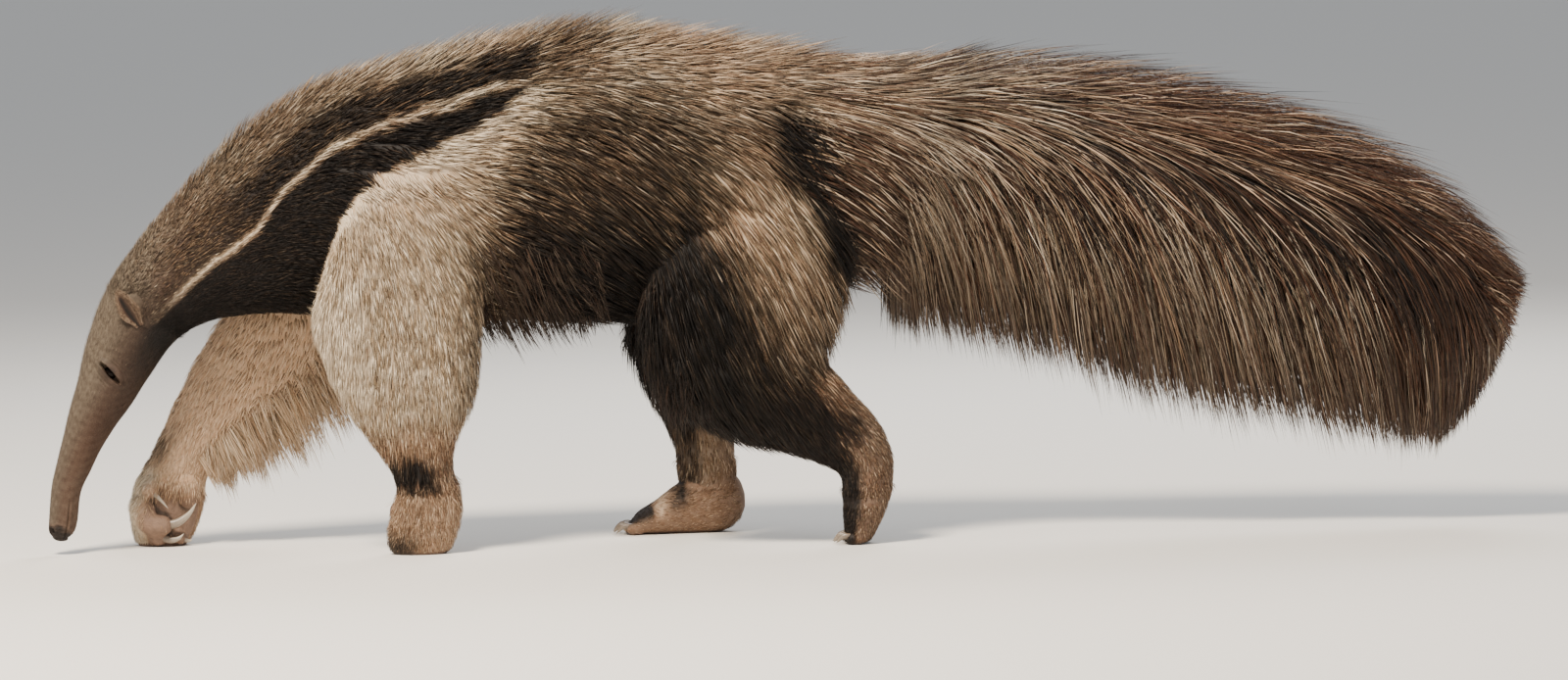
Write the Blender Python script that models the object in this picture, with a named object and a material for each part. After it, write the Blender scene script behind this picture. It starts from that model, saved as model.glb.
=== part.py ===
"""A giant anteater at life size, walking with its head down, as a still display model.

The animal faces -X, its left side is at -Y, and it stands on the plane z = 0. Lengths are in metres.
Every body part is a loft: rings set along an axis, each with its own place, heading and size. Rings are
joined by a Catmull-Rom curve, and one loft is divided into parts at flat rings with a thin gap between.
Places along a loft are counted in rings, and angles round it are measured from its upper side.
"""

import math
from collections import namedtuple

import bmesh
import bpy
import numpy as np
from mathutils import Matrix, Vector

OBJECT = "giant_anteater"
GAP = 0.0003  # clearance between parts that touch
HALF_GAP = GAP / 2

# One ring of a loft. Heading is the way the axis runs, in degrees up from +X. Depth is the half size in the
# plane of symmetry, width the half size across it. Ridge narrows the upper half, keel narrows the lower.
Ring = namedtuple("Ring", "x y z heading depth width ridge keel", defaults=(0.0, 0.0))

# A stretch of a loft that makes one part: from ring to ring, in so many steps and sides.
Stretch = namedtuple("Stretch", "first last steps sides")

HEAD = Stretch(0.0, 10.3, 19, 16)
NECK = Stretch(10.3, 13.6, 6, 16)
TORSO = Stretch(13.6, 21.0, 11, 20)
TRUNK = [
    Ring(-0.797, 0, 0.022, 82, 0.0105, 0.0100),  # end of the snout
    Ring(-0.796, 0, 0.030, 82, 0.0160, 0.0155),
    Ring(-0.793, 0, 0.046, 82, 0.0182, 0.0175),  # nostrils
    Ring(-0.788, 0, 0.084, 78, 0.0192, 0.0185),
    Ring(-0.777, 0, 0.115, 71, 0.0225, 0.0205),
    Ring(-0.765, 0, 0.146, 67, 0.0262, 0.0235),
    Ring(-0.751, 0, 0.177, 64, 0.0320, 0.0280),
    Ring(-0.735, 0, 0.207, 64, 0.0385, 0.0330),
    Ring(-0.718, 0, 0.245, 63, 0.0465, 0.0390),  # just above the eyes
    Ring(-0.693, 0, 0.293, 57, 0.0550, 0.0450, 0.05),  # ears
    Ring(-0.663, 0, 0.330, 44, 0.0640, 0.0510, 0.10),
    Ring(-0.620, 0, 0.363, 33, 0.0800, 0.0590, 0.15),
    Ring(-0.559, 0, 0.395, 26, 0.1070, 0.0730, 0.22),  # middle of the neck
    Ring(-0.494, 0, 0.420, 20, 0.1370, 0.0900, 0.28),
    Ring(-0.420, 0, 0.440, 12, 0.1620, 0.1080, 0.32),  # shoulders
    Ring(-0.345, 0, 0.448, 8, 0.1760, 0.1200, 0.32),
    Ring(-0.238, 0, 0.463, 4, 0.1850, 0.1360, 0.30),
    Ring(-0.113, 0, 0.469, -2, 0.1970, 0.1480, 0.28),  # deepest of the barrel
    Ring(0.011, 0, 0.458, -4, 0.1920, 0.1480, 0.25),
    Ring(0.134, 0, 0.450, -2, 0.1780, 0.1380, 0.20),  # hips
    Ring(0.212, 0, 0.470, 4, 0.1380, 0.1120, 0.12),
    Ring(0.260, 0, 0.497, 6, 0.0920, 0.0820, 0.05),  # root of the tail
]

# The outer surface of the tail's coat, out to the tips of its hair, and the height of the bone within it.
TAIL_COAT = [
    Ring(0.262, 0, 0.497, 6, 0.0920, 0.0820, 0.05),
    Ring(0.290, 0, 0.440, -7, 0.1800, 0.1120, 0.10, 0.30),
    Ring(0.370, 0, 0.437, -6, 0.1980, 0.1250, 0.15, 0.40),
    Ring(0.493, 0, 0.412, -6, 0.2130, 0.1300, 0.20, 0.45),
    Ring(0.620, 0, 0.376, -5, 0.2280, 0.1300, 0.20, 0.45),
    Ring(0.752, 0, 0.342, -3, 0.2250, 0.1250, 0.20, 0.45),
    Ring(0.883, 0, 0.308, -3, 0.2120, 0.1130, 0.20, 0.45),
    Ring(0.970, 0, 0.270, -8, 0.1780, 0.0930, 0.20, 0.40),
    Ring(1.018, 0, 0.240, -16, 0.1350, 0.0700, 0.20, 0.30),
    Ring(1.058, 0, 0.250, -20, 0.0700, 0.0400, 0.10, 0.10),
]
TAIL_BONE = (0.497, 0.520, 0.514, 0.494, 0.464, 0.425, 0.365, 0.300, 0.262, 0.250)
TAIL_CORE = Stretch(0.0, 7.6, 8, 10)
CORE_SHARE = 0.5  # how far the core reaches from the bone to the tips of the hair

FORE_UPPER = Stretch(0.0, 4.0, 6, 14)
FORE_LOWER = Stretch(4.0, 8.2, 7, 14)
FORE_PALM = Stretch(8.2, 13.0, 8, 10)
FORE_LEFT = [
    Ring(-0.330, -0.050, 0.520, -90, 0.070, 0.040),
    Ring(-0.330, -0.078, 0.445, -90, 0.098, 0.060),
    Ring(-0.345, -0.088, 0.370, -90, 0.106, 0.064),
    Ring(-0.355, -0.093, 0.300, -90, 0.112, 0.064),
    Ring(-0.350, -0.095, 0.240, -90, 0.103, 0.060),
    Ring(-0.343, -0.097, 0.198, -88, 0.090, 0.054),
    Ring(-0.338, -0.098, 0.160, -86, 0.068, 0.046),
    Ring(-0.333, -0.099, 0.129, -84, 0.050, 0.040),
    Ring(-0.327, -0.100, 0.104, -86, 0.041, 0.036),  # wrist
    Ring(-0.322, -0.101, 0.083, -90, 0.041, 0.034),
    Ring(-0.322, -0.102, 0.058, -95, 0.043, 0.031),
    Ring(-0.329, -0.102, 0.032, -98, 0.044, 0.030),
    Ring(-0.334, -0.102, 0.010, -96, 0.040, 0.028),
    Ring(-0.336, -0.102, -0.008, -92, 0.030, 0.022),
]
FORE_RIGHT = [
    Ring(-0.370, 0.046, 0.500, -95, 0.070, 0.040),
    Ring(-0.385, 0.076, 0.425, -105, 0.090, 0.056),
    Ring(-0.425, 0.086, 0.355, -118, 0.096, 0.060),
    Ring(-0.478, 0.094, 0.292, -128, 0.094, 0.060),
    Ring(-0.530, 0.098, 0.240, -132, 0.084, 0.056),
    Ring(-0.572, 0.100, 0.200, -132, 0.070, 0.050),
    Ring(-0.604, 0.101, 0.168, -130, 0.056, 0.044),
    Ring(-0.630, 0.102, 0.136, -124, 0.045, 0.039),
    Ring(-0.647, 0.102, 0.108, -115, 0.041, 0.036),  # wrist
    Ring(-0.658, 0.103, 0.084, -106, 0.044, 0.034),
    Ring(-0.666, 0.104, 0.058, -100, 0.046, 0.031),
    Ring(-0.671, 0.104, 0.032, -95, 0.044, 0.030),
    Ring(-0.674, 0.104, 0.010, -92, 0.037, 0.028),
    Ring(-0.674, 0.104, -0.008, -90, 0.028, 0.022),
]
PAW_RING = 11  # the ring of a front leg over which its paw's own frame stands

LEFT_THIGH = Stretch(0.0, 3.6, 7, 14)
LEFT_SHANK = Stretch(3.6, 6.6, 6, 14)
LEFT_FOOT = Stretch(6.6, 11.0, 7, 10)
HIND_LEFT = [
    Ring(0.130, -0.062, 0.520, -90, 0.080, 0.050),
    Ring(0.104, -0.082, 0.420, -95, 0.128, 0.066),
    Ring(0.082, -0.096, 0.325, -90, 0.140, 0.072),
    Ring(0.080, -0.103, 0.245, -76, 0.124, 0.068),
    Ring(0.114, -0.105, 0.196, -56, 0.091, 0.058),
    Ring(0.168, -0.105, 0.163, -42, 0.062, 0.049),
    Ring(0.214, -0.104, 0.129, -48, 0.047, 0.041),  # hock
    Ring(0.233, -0.103, 0.097, -76, 0.038, 0.036),
    Ring(0.233, -0.102, 0.062, -92, 0.032, 0.034),
    Ring(0.227, -0.102, 0.032, -98, 0.025, 0.036),
    Ring(0.222, -0.102, 0.010, -96, 0.018, 0.036),  # toes
    Ring(0.221, -0.102, -0.006, -90, 0.015, 0.034),
]
RIGHT_THIGH = Stretch(0.0, 3.4, 7, 14)
RIGHT_SHANK = Stretch(3.4, 8.0, 7, 14)
RIGHT_SOLE = Stretch(0.0, 7.0, 7, 12)
HIND_RIGHT = [
    Ring(0.125, 0.062, 0.520, -90, 0.080, 0.050),
    Ring(0.095, 0.082, 0.420, -98, 0.122, 0.066),
    Ring(0.058, 0.096, 0.335, -104, 0.126, 0.070),
    Ring(0.024, 0.103, 0.262, -98, 0.104, 0.064),
    Ring(0.016, 0.105, 0.205, -86, 0.074, 0.054),
    Ring(0.021, 0.105, 0.158, -84, 0.053, 0.045),
    Ring(0.027, 0.105, 0.115, -86, 0.042, 0.038),
    Ring(0.030, 0.105, 0.075, -88, 0.040, 0.035),
    Ring(0.031, 0.105, 0.045, -90, 0.034, 0.030),
]
FOOT_RIGHT = [
    Ring(0.078, 0.105, 0.040, 180, 0.010, 0.010),  # heel
    Ring(0.070, 0.105, 0.042, 180, 0.028, 0.024),
    Ring(0.048, 0.105, 0.042, 180, 0.043, 0.034),
    Ring(0.016, 0.105, 0.040, 180, 0.044, 0.036),
    Ring(-0.014, 0.105, 0.028, 180, 0.032, 0.037),
    Ring(-0.040, 0.105, 0.019, 180, 0.022, 0.038),
    Ring(-0.058, 0.105, 0.014, 180, 0.016, 0.036),
    Ring(-0.068, 0.105, 0.010, 180, 0.009, 0.029),
]

# Eyes, lids, ears, mouth and nostrils.
EYE_RING, EYE_ANGLE, EYE_RADIUS, EYE_SUNK, EYE_MESH = 7.7, 88, 0.0085, 0.0045, (12, 8)
LID_LENGTH, LID_HEIGHT, LID_THICK, LID_WRAP = 0.0150, 0.0068, 0.0026, 0.0022
LID_STEPS, LID_SIDES = 12, 5
LID_SLANT = -50  # the way the slit of the lids runs, in degrees up from +X
EAR_CENTRE, EAR_LEAN, EAR_OPENS = (-0.700, 0.049, 0.319), (-0.53, 0.36, 0.77), (-0.25, 1.0, 0.0)
EAR_SIZE, EAR_SCOOP, EAR_RIM, EAR_MESH = (0.0155, 0.0125, 0.0275), 0.0060, 0.0018, (12, 7)
MOUTH_ANGLE, MOUTH_BACK, MOUTH_FRONT, MOUTH_STEPS, MOUTH_GROOVE = 118, 2.5, 0.25, 5, 0.0013
NOSTRIL_RING, NOSTRIL_ANGLE, NOSTRIL_SIZE, NOSTRIL_MESH = 0.95, 48, (0.0042, 0.0040, 0.0034), (8, 6)

# Toes and claws, each in its own paw's frame: forward, towards the body's middle, and up from the ground.
Digit = namedtuple("Digit", "toe toe_radii claw claw_radius")
FORE_DIGITS = [
    Digit(
        [(0.012, 0.018, 0.082), (0.017, 0.033, 0.073)],
        (0.013, 0.010),
        [(0.014, 0.033, 0.072), (0.004, 0.037, 0.064), (-0.008, 0.037, 0.050)],
        0.0042,
    ),
    Digit(
        [(0.026, 0.016, 0.052), (0.018, 0.032, 0.032), (0.000, 0.036, 0.028)],
        (0.017, 0.015, 0.013),
        [(0.002, 0.036, 0.028), (-0.018, 0.038, 0.031), (-0.034, 0.037, 0.042), (-0.044, 0.035, 0.056)],
        0.0075,
    ),
    Digit(
        [(0.014, 0.010, 0.022), (0.006, 0.026, 0.013)],
        (0.015, 0.012),
        [(0.004, 0.031, 0.013), (-0.012, 0.036, 0.011), (-0.026, 0.036, 0.016), (-0.036, 0.034, 0.025)],
        0.0058,
    ),
    Digit(
        [(-0.014, 0.006, 0.022), (-0.020, 0.020, 0.011)],
        (0.013, 0.010),
        [(-0.022, 0.024, 0.010), (-0.034, 0.028, 0.008), (-0.043, 0.029, 0.011)],
        0.0042,
    ),
]
PAD_PLACE, PAD_SIZE, PAD_MESH = (-0.044, 0.014, 0.074), (0.015, 0.020, 0.026), (8, 6)
HIND_TOES, TOE_RADIUS, TOE_SIDES, TOE_LAG = 5, 0.0085, 5, 0.35
# A hind foot's toes: the ring they grow from, their spread, reach and height.
LEFT_TOES, RIGHT_TOES = (10, 0.027, 0.012, 0.0080), (6, 0.028, 0.014, 0.0085)
CLAW_RADIUS, CLAW_LENGTH, CLAW_TIP_HEIGHT = 0.0036, 0.019, 0.0025
CLAW_STEPS, CLAW_SIDES, CLAW_POINT, CLAW_TAPER, CLAW_SECTION = 5, 5, 0.12, 1.6, (1.25, 0.9)

# A flat tapered lock of long hair. Its spine runs from a root in a part through a middle point to a tip.
Lock = namedtuple("Lock", "spine facing half_width half_thickness")
LOCK_SHAPE = ((0.0, 0.72), (0.36, 1.0), (0.73, 0.55))  # share of the length, share of the full width
LOCK_SIZES_VARY = 0.15
TOP_ROLL = 0.9  # how far a lock on an upper surface turns its flat side outwards
LOWEST_TIP = 0.006
SEED = 11

# Hair that covers a part: its locks' half width and half thickness, how deep they root, how soon they rise.
Cover = namedtuple("Cover", "half_width half_thickness sink rise")
TAIL_HAIR = Cover(0.031, 0.0040, 0.010, 0.75)
TORSO_CREST, NECK_CREST = Cover(0.013, 0.0028, 0.010, 0.60), Cover(0.010, 0.0022, 0.008, 0.60)
TAIL_FIRST_ROW, TAIL_ROW_STEP, TAIL_LOCKS_ROUND = 0.12, 0.82, 10
TAIL_SWEEP = (0.45, 0.95)  # how far back a tip lies: everywhere, and more along the top, in rings
TAIL_DROP = 0.55  # how far the hair on the tail's sides turns downwards, in radians
TAIL_SHORTER = (0.45, 0.40)  # length at the tail's root, and its growth with each ring behind
CREST_ANGLE, CREST_REACH, CREST_END = 9, 0.85, 0.3
TORSO_CREST_PLACES, TORSO_CREST_HEIGHT = (13.75, 20.2, 0.36), 0.014
NECK_CREST_PLACES, NECK_CREST_HEIGHT = (10.5, 12.6, 0.25), 0.011

# A fringe that hangs: first and last place, step, angles, how its tips fall, and the sizes of its locks.
Fringe = namedtuple("Fringe", "first last step angles fall half_width half_thickness")
BELLY_FRINGE = Fringe(15.7, 16.95, 0.3, (-158, -124, 124, 158), (0.024, 0.0, -0.052), 0.020, 0.0028)
FOREARM_FRINGE = Fringe(4.3, 7.3, 0.5, (-26, 26), (0.032, 0.0, -0.058), 0.017, 0.0026)
LEFT_KNEE_FRINGE = Fringe(1.8, 3.45, 0.42, (-150, 152), (0.008, 0.0, -0.072), 0.018, 0.0028)
RIGHT_KNEE_FRINGE = Fringe(1.8, 3.25, 0.42, (-165, 152), (0.012, 0.0, -0.064), 0.017, 0.0028)
FRINGE_SINK, FRINGE_BULGE, FRINGE_BEND = 0.014, 0.014, 0.42
FRINGE_VARIES = (0.16, 0.006)  # share of the fall, and metres

COLOURS = {
    "fur_dark": (0.055, 0.045, 0.040),
    "fur_grizzled": (0.21, 0.165, 0.125),
    "fur_pale": (0.42, 0.35, 0.27),
    "fur_head": (0.19, 0.155, 0.13),
    "skin": (0.30, 0.19, 0.145),
    "claw": (0.62, 0.58, 0.52),
    "eye": (0.015, 0.012, 0.010),
}
ROUGHNESS = {"eye": 0.08, "claw": 0.35, "skin": 0.60}
FUR_ROUGHNESS = 0.85
SHARP_ANGLE = 50


def between(rings, place):
    """Every number of a ring at a place counted in rings, on a Catmull-Rom curve through the rings."""
    table = np.array(rings, float)
    place = np.clip(np.asarray(place, float), 0, len(table) - 1)
    start = np.minimum(place.astype(int), len(table) - 2)
    u = (place - start)[..., None]
    before, first = table[np.maximum(start - 1, 0)], table[start]
    second, after = table[start + 1], table[np.minimum(start + 2, len(table) - 1)]
    return 0.5 * (
        2 * first
        + (second - before) * u
        + (2 * before - 5 * first + 4 * second - after) * u**2
        + (3 * first - before - 3 * second + after) * u**3
    )


def surface(rings, place, angle, grow=0.0):
    """The point of a loft at a place along it and an angle round it, in radians from its upper side."""
    x, y, z, heading, depth, width, ridge, keel = np.moveaxis(between(rings, place), -1, 0)
    heading = np.radians(heading)
    up = np.cos(angle)
    narrowed = 1 - ridge * np.maximum(up, 0) ** 2 - keel * np.maximum(-up, 0) ** 2
    across = (width + grow) * np.sin(angle) * narrowed
    lift = (depth + grow) * up
    return np.stack([x - np.sin(heading) * lift, y + across, z + np.cos(heading) * lift], -1)


def thicker(rings, grow):
    """The same rings, each larger all round."""
    return [ring._replace(depth=ring.depth + grow, width=ring.width + grow) for ring in rings]


def unit(vectors):
    """The same directions at length one."""
    return vectors / np.linalg.norm(vectors, axis=-1, keepdims=True)


def circle(sides):
    """Cosines and sines of equal steps round a circle, as two columns that scale two directions."""
    angles = np.arange(sides) * 2 * math.pi / sides
    return np.cos(angles)[:, None], np.sin(angles)[:, None]


def linked(name, mesh):
    """A new object for a mesh, in the scene."""
    made = bpy.data.objects.new(name, mesh)
    bpy.context.scene.collection.objects.link(made)
    return made


def mesh_object(name, points, faces):
    """A mesh object from its points and faces, with all faces turned outwards."""
    mesh = bpy.data.meshes.new(name)
    mesh.from_pydata([tuple(p) for p in points], [], faces)
    shaper = bmesh.new()
    shaper.from_mesh(mesh)
    bmesh.ops.recalc_face_normals(shaper, faces=shaper.faces)
    shaper.to_mesh(mesh)
    shaper.free()
    return linked(name, mesh)


def band(near, far, sides):
    """The triangles between two rows of points, all split along the same diagonal."""
    faces = []
    for j in range(sides):
        step = (j + 1) % sides
        faces += [(near + j, near + step, far + step), (near + j, far + step, far + j)]
    return faces


def closed_rows(name, rows):
    """A closed solid through rows of points, each row one section, with a flat cap at both ends."""
    count, sides = rows.shape[:2]
    faces = [face for i in range(count - 1) for face in band(i * sides, (i + 1) * sides, sides)]
    faces += [tuple(range(sides)), tuple(range((count - 1) * sides, count * sides))]
    return mesh_object(name, rows.reshape(-1, 3), faces)


def loft(name, rings, stretch, grow=0.0, gaps=(0.0, 0.0)):
    """A closed solid along a stretch of a loft. Gaps draw its two ends back from their rings."""
    places = np.linspace(stretch.first, stretch.last, stretch.steps + 1)
    angles = np.arange(stretch.sides) * 2 * math.pi / stretch.sides
    rows = surface(rings, places[:, None], angles[None, :], grow)
    for end, gap, sign in ((0, gaps[0], 1), (-1, gaps[1], -1)):
        heading = math.radians(between(rings, places[end])[3])
        rows[end] += sign * gap * np.array([math.cos(heading), 0, math.sin(heading)])
    return closed_rows(name, rows)


def cutter(rings, stretch, ends=(-GAP, -GAP)):
    """A stretch of a loft, a gap larger all round, that cuts other parts clear of it."""
    return loft("cutter", rings, stretch, GAP, ends)


def tube(name, path, radii, sides, grow=0.0):
    """A round tube along a path, with rounded ends, for toes and grooves."""
    path, radii = np.array(path, float), np.array(radii, float) + grow
    ways = unit(np.gradient(path, axis=0))
    ends = [(0, -1, 0.5), (0, -1, 0.85), (-1, 1, 0.85), (-1, 1, 0.5)]
    caps = [
        (path[i] + sign * ways[i] * radii[i] * math.sqrt(1 - share**2), ways[i], radii[i] * share)
        for i, sign, share in ends
    ]
    cos, sin = circle(sides)
    rows = []
    for centre, way, radius in [*caps[:2], *zip(path, ways, radii), *caps[2:]]:
        side = unit(np.cross(way, (0.12, 1.0, 0.07)))
        rows.append(centre + radius * (cos * side + sin * np.cross(way, side)))
    return closed_rows(name, np.array(rows))


def ball(name, centre, sizes, fineness, grow=0.0):
    """An ellipsoid with its own half size along X, Y and Z. Fineness is its segments and rings."""
    shaper = bmesh.new()
    bmesh.ops.create_uvsphere(shaper, u_segments=fineness[0], v_segments=fineness[1], radius=1.0)
    scale = Matrix.Diagonal((*[s + grow for s in sizes], 1.0))
    bmesh.ops.transform(shaper, matrix=Matrix.Translation(centre) @ scale, verts=shaper.verts)
    mesh = bpy.data.meshes.new(name)
    shaper.to_mesh(mesh)
    shaper.free()
    return linked(name, mesh)


def applied(target, **settings):
    """Gives an object one Boolean and keeps the result as the object's own mesh."""
    modifier = target.modifiers.new("Boolean", "BOOLEAN")
    modifier.solver = "MANIFOLD"
    for key, value in settings.items():
        setattr(modifier, key, value)
    bpy.context.view_layer.update()
    shown = target.evaluated_get(bpy.context.evaluated_depsgraph_get())
    mesh = bpy.data.meshes.new_from_object(shown)
    target.modifiers.clear()
    old, target.data = target.data, mesh
    bpy.data.meshes.remove(old)


def removed(objects):
    """Takes helper objects and their meshes out of the file."""
    for helper in objects:
        mesh = helper.data
        bpy.data.objects.remove(helper)
        bpy.data.meshes.remove(mesh)


def largest_only(target):
    """Keeps only the largest closed surface of an object's mesh."""
    shaper = bmesh.new()
    shaper.from_mesh(target.data)
    waiting = set(shaper.verts)
    pieces = []
    while waiting:
        found, edge = set(), [next(iter(waiting))]
        while edge:
            vert = edge.pop()
            if vert in waiting:
                waiting.discard(vert)
                found.add(vert)
                edge.extend(link.other_vert(vert) for link in vert.link_edges)
        pieces.append(found)
    pieces.sort(key=len)
    scraps = [vert for piece in pieces[:-1] for vert in piece]
    bmesh.ops.delete(shaper, geom=scraps, context="VERTS")
    shaper.to_mesh(target.data)
    shaper.free()
    return target


def united(pieces):
    """One closed body from several that overlap, by a single Boolean union, under the first one's name."""
    first, *others = pieces
    if others:
        group = bpy.data.collections.new("pieces")
        for piece in others:
            group.objects.link(piece)
        applied(first, operation="UNION", operand_type="COLLECTION", collection=group)
        bpy.data.collections.remove(group)
        removed(others)
    return largest_only(first)


def cut(target, cutters):
    """Takes each cutter's volume away from an object."""
    for one in cutters:
        applied(target, operation="DIFFERENCE", object=one)
    return largest_only(target)


def flattened(target):
    """Cuts an object off at the ground, which leaves one flat face there."""
    shaper = bmesh.new()
    shaper.from_mesh(target.data)
    parts = [*shaper.verts, *shaper.edges, *shaper.faces]
    ground = {"plane_co": (0, 0, 0), "plane_no": (0, 0, -1)}
    sliced = bmesh.ops.bisect_plane(shaper, geom=parts, clear_outer=True, **ground)
    rim = [part for part in sliced["geom_cut"] if isinstance(part, bmesh.types.BMEdge)]
    bmesh.ops.contextual_create(shaper, geom=rim)
    bmesh.ops.recalc_face_normals(shaper, faces=shaper.faces)
    shaper.to_mesh(target.data)
    shaper.free()
    return target


def lock_solid(lock):
    """A flat lock of hair: a lens-shaped section carried along a bent spine, drawn out to a point."""
    root, middle, tip = (np.array(point) for point in lock.spine)
    t = np.array([share for share, _ in LOCK_SHAPE] + [1.0])[:, None]
    spine = (1 - t) ** 2 * root + 2 * t * (1 - t) * middle + t**2 * tip
    ways = unit(np.gradient(spine, axis=0))
    points = []
    for (_, fullness), centre, way in zip(LOCK_SHAPE, spine, ways):
        across = unit(np.cross(way, lock.facing))
        wide = across * lock.half_width * fullness
        thick = np.cross(across, way) * lock.half_thickness * fullness
        points += [centre + wide, centre + thick, centre - wide, centre - thick]
    points.append(spine[-1])
    last = 4 * (len(LOCK_SHAPE) - 1)
    faces = [(2, 1, 0), (3, 2, 0)]
    faces += [face for near in range(0, last, 4) for face in band(near, near + 4, 4)]
    faces += [(last + j, last + (j + 1) % 4, last + 4) for j in range(4)]
    return mesh_object("lock", points, faces)


def covering(base, cover, spots, hair, chance):
    """Locks that start on a base loft and end on a covering loft.

    Each spot gives the root's place and angle on the base, then the tip's place and angle on the cover.
    The lock first rises by the hair's share of the way to the cover, and then lies along it.
    """
    locks = []
    for root_place, root_angle, tip_place, tip_angle in spots:
        jitter = chance.uniform(-1, 1, 4)
        root_angle += 0.05 * jitter[0]
        tip_angle += 0.07 * jitter[1]
        inside = surface(base, root_place, root_angle, -hair.sink)
        out = unit(surface(base, root_place, root_angle) - inside)
        way_place = root_place + 0.35 * (tip_place - root_place)
        way_angle = root_angle + 0.35 * (tip_angle - root_angle)
        low, high = surface(base, way_place, way_angle), surface(cover, way_place, way_angle)
        tip = surface(cover, tip_place + 0.12 * jitter[2], tip_angle)
        facing = out + TOP_ROLL * max(out[2], 0) * np.array([0, math.copysign(1, root_angle), 0])
        size = hair.half_width * (1 + LOCK_SIZES_VARY * jitter[3])
        middle = low + hair.rise * (high - low)
        locks.append(Lock((inside, middle, tip), facing, size, hair.half_thickness))
    return locks


def hanging(base, fringe, chance):
    """The locks of a fringe: each bulges out of a loft a little, then hangs with its flat to the side."""
    locks = []
    for i, turn in enumerate(fringe.angles):
        stagger = 0.5 * fringe.step * (i % 2)
        for place in np.arange(fringe.first + stagger, fringe.last, fringe.step):
            jitter = chance.uniform(-1, 1, 4)
            angle = math.radians(turn)
            root = surface(base, place, angle)
            inside = surface(base, place, angle, -FRINGE_SINK)
            out = unit(root - inside)
            fall = np.array(fringe.fall) * (1 + FRINGE_VARIES[0] * jitter[0])
            fall += FRINGE_VARIES[1] * np.array([jitter[1], 0.6 * jitter[2], 0])
            tip = root + fall
            tip[2] = max(tip[2], LOWEST_TIP)
            middle = root + FRINGE_BULGE * out + FRINGE_BEND * fall
            facing = np.array([0.35 * out[0], math.copysign(1, out[1]), 0.0])
            size = fringe.half_width * (1 + LOCK_SIZES_VARY * jitter[3])
            locks.append(Lock((inside, middle, tip), facing, size, fringe.half_thickness))
    return locks


def haired(target, locks, clear_of=()):
    """Joins locks to the part they grow from, after cutting them clear of the parts they would cross."""
    pieces = [lock_solid(lock) for lock in locks]
    if clear_of:
        for piece in pieces:
            cut(piece, clear_of)
    return united([target, *pieces])


def tail_core_rings():
    """The rings of the tail's core: part of the way from the bone to the outer surface of the coat."""
    rings = []
    for i, (coat, bone) in enumerate(zip(TAIL_COAT, TAIL_BONE)):
        share = CORE_SHARE if i else 1.0
        height = share * coat.z + (1 - share) * bone
        rings.append(coat._replace(z=height, depth=share * coat.depth, width=share * coat.width))
    return rings


def tail_spots(chance):
    """Where each lock of the tail starts and ends: swept back along the top, hanging below."""
    spots = []
    for i, row in enumerate(np.arange(TAIL_FIRST_ROW, TAIL_CORE.last + 0.1, TAIL_ROW_STEP)):
        for j in range(TAIL_LOCKS_ROUND):
            angle = 2 * math.pi * (j + 0.5 * (i % 2)) / TAIL_LOCKS_ROUND - math.pi
            from_top = abs(angle)
            sweep = TAIL_SWEEP[0] + TAIL_SWEEP[1] * math.cos(from_top / 2) ** 2
            start = row + 0.08 * chance.uniform(-1, 1)
            end = start + sweep * min(TAIL_SHORTER[0] + TAIL_SHORTER[1] * row, 1.0)
            lower = min(from_top + TAIL_DROP * math.sin(from_top) ** 2, math.pi)
            spots.append((start, angle, end, math.copysign(lower, angle)))
    return spots


def tail_part(clear_of):
    """The tail: a core round its bone, and the long hair that makes its deep plume."""
    chance = np.random.default_rng(SEED)
    core_rings = tail_core_rings()
    core = loft("tail", core_rings, TAIL_CORE, gaps=(HALF_GAP, 0.0))
    return haired(core, covering(core_rings, TAIL_COAT, tail_spots(chance), TAIL_HAIR, chance), clear_of)


def crest(places, height, hair, chance):
    """Two staggered files of short locks along the top of the trunk, one on each side of the middle."""
    first, last, step = places
    spots = []
    for i, place in enumerate(np.arange(first, last, step)):
        angle = math.radians(CREST_ANGLE if i % 2 else -CREST_ANGLE)
        spots.append((place, angle, min(place + CREST_REACH, last + CREST_END), angle))
    return covering(TRUNK, thicker(TRUNK, height), spots, hair, chance)


def torso_part(clear_of):
    """The torso with its crest and the fringe of long hair along its lower flanks and belly."""
    chance = np.random.default_rng(SEED + 1)
    body = loft("torso", TRUNK, TORSO, gaps=(HALF_GAP, HALF_GAP))
    locks = crest(TORSO_CREST_PLACES, TORSO_CREST_HEIGHT, TORSO_CREST, chance)
    return haired(body, locks + hanging(TRUNK, BELLY_FRINGE, chance), clear_of)


def neck_part():
    """The neck with the front of the crest."""
    chance = np.random.default_rng(SEED + 2)
    body = loft("neck", TRUNK, NECK, gaps=(HALF_GAP, HALF_GAP))
    return haired(body, crest(NECK_CREST_PLACES, NECK_CREST_HEIGHT, NECK_CREST, chance))


def eye_centre(side, sunk):
    """A point on the head's side at the eye, sunk to some depth. Side is -1 on the left."""
    point = surface(TRUNK, EYE_RING, math.radians(EYE_ANGLE) * side)
    return point - np.array([0, side * sunk, 0])


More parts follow.
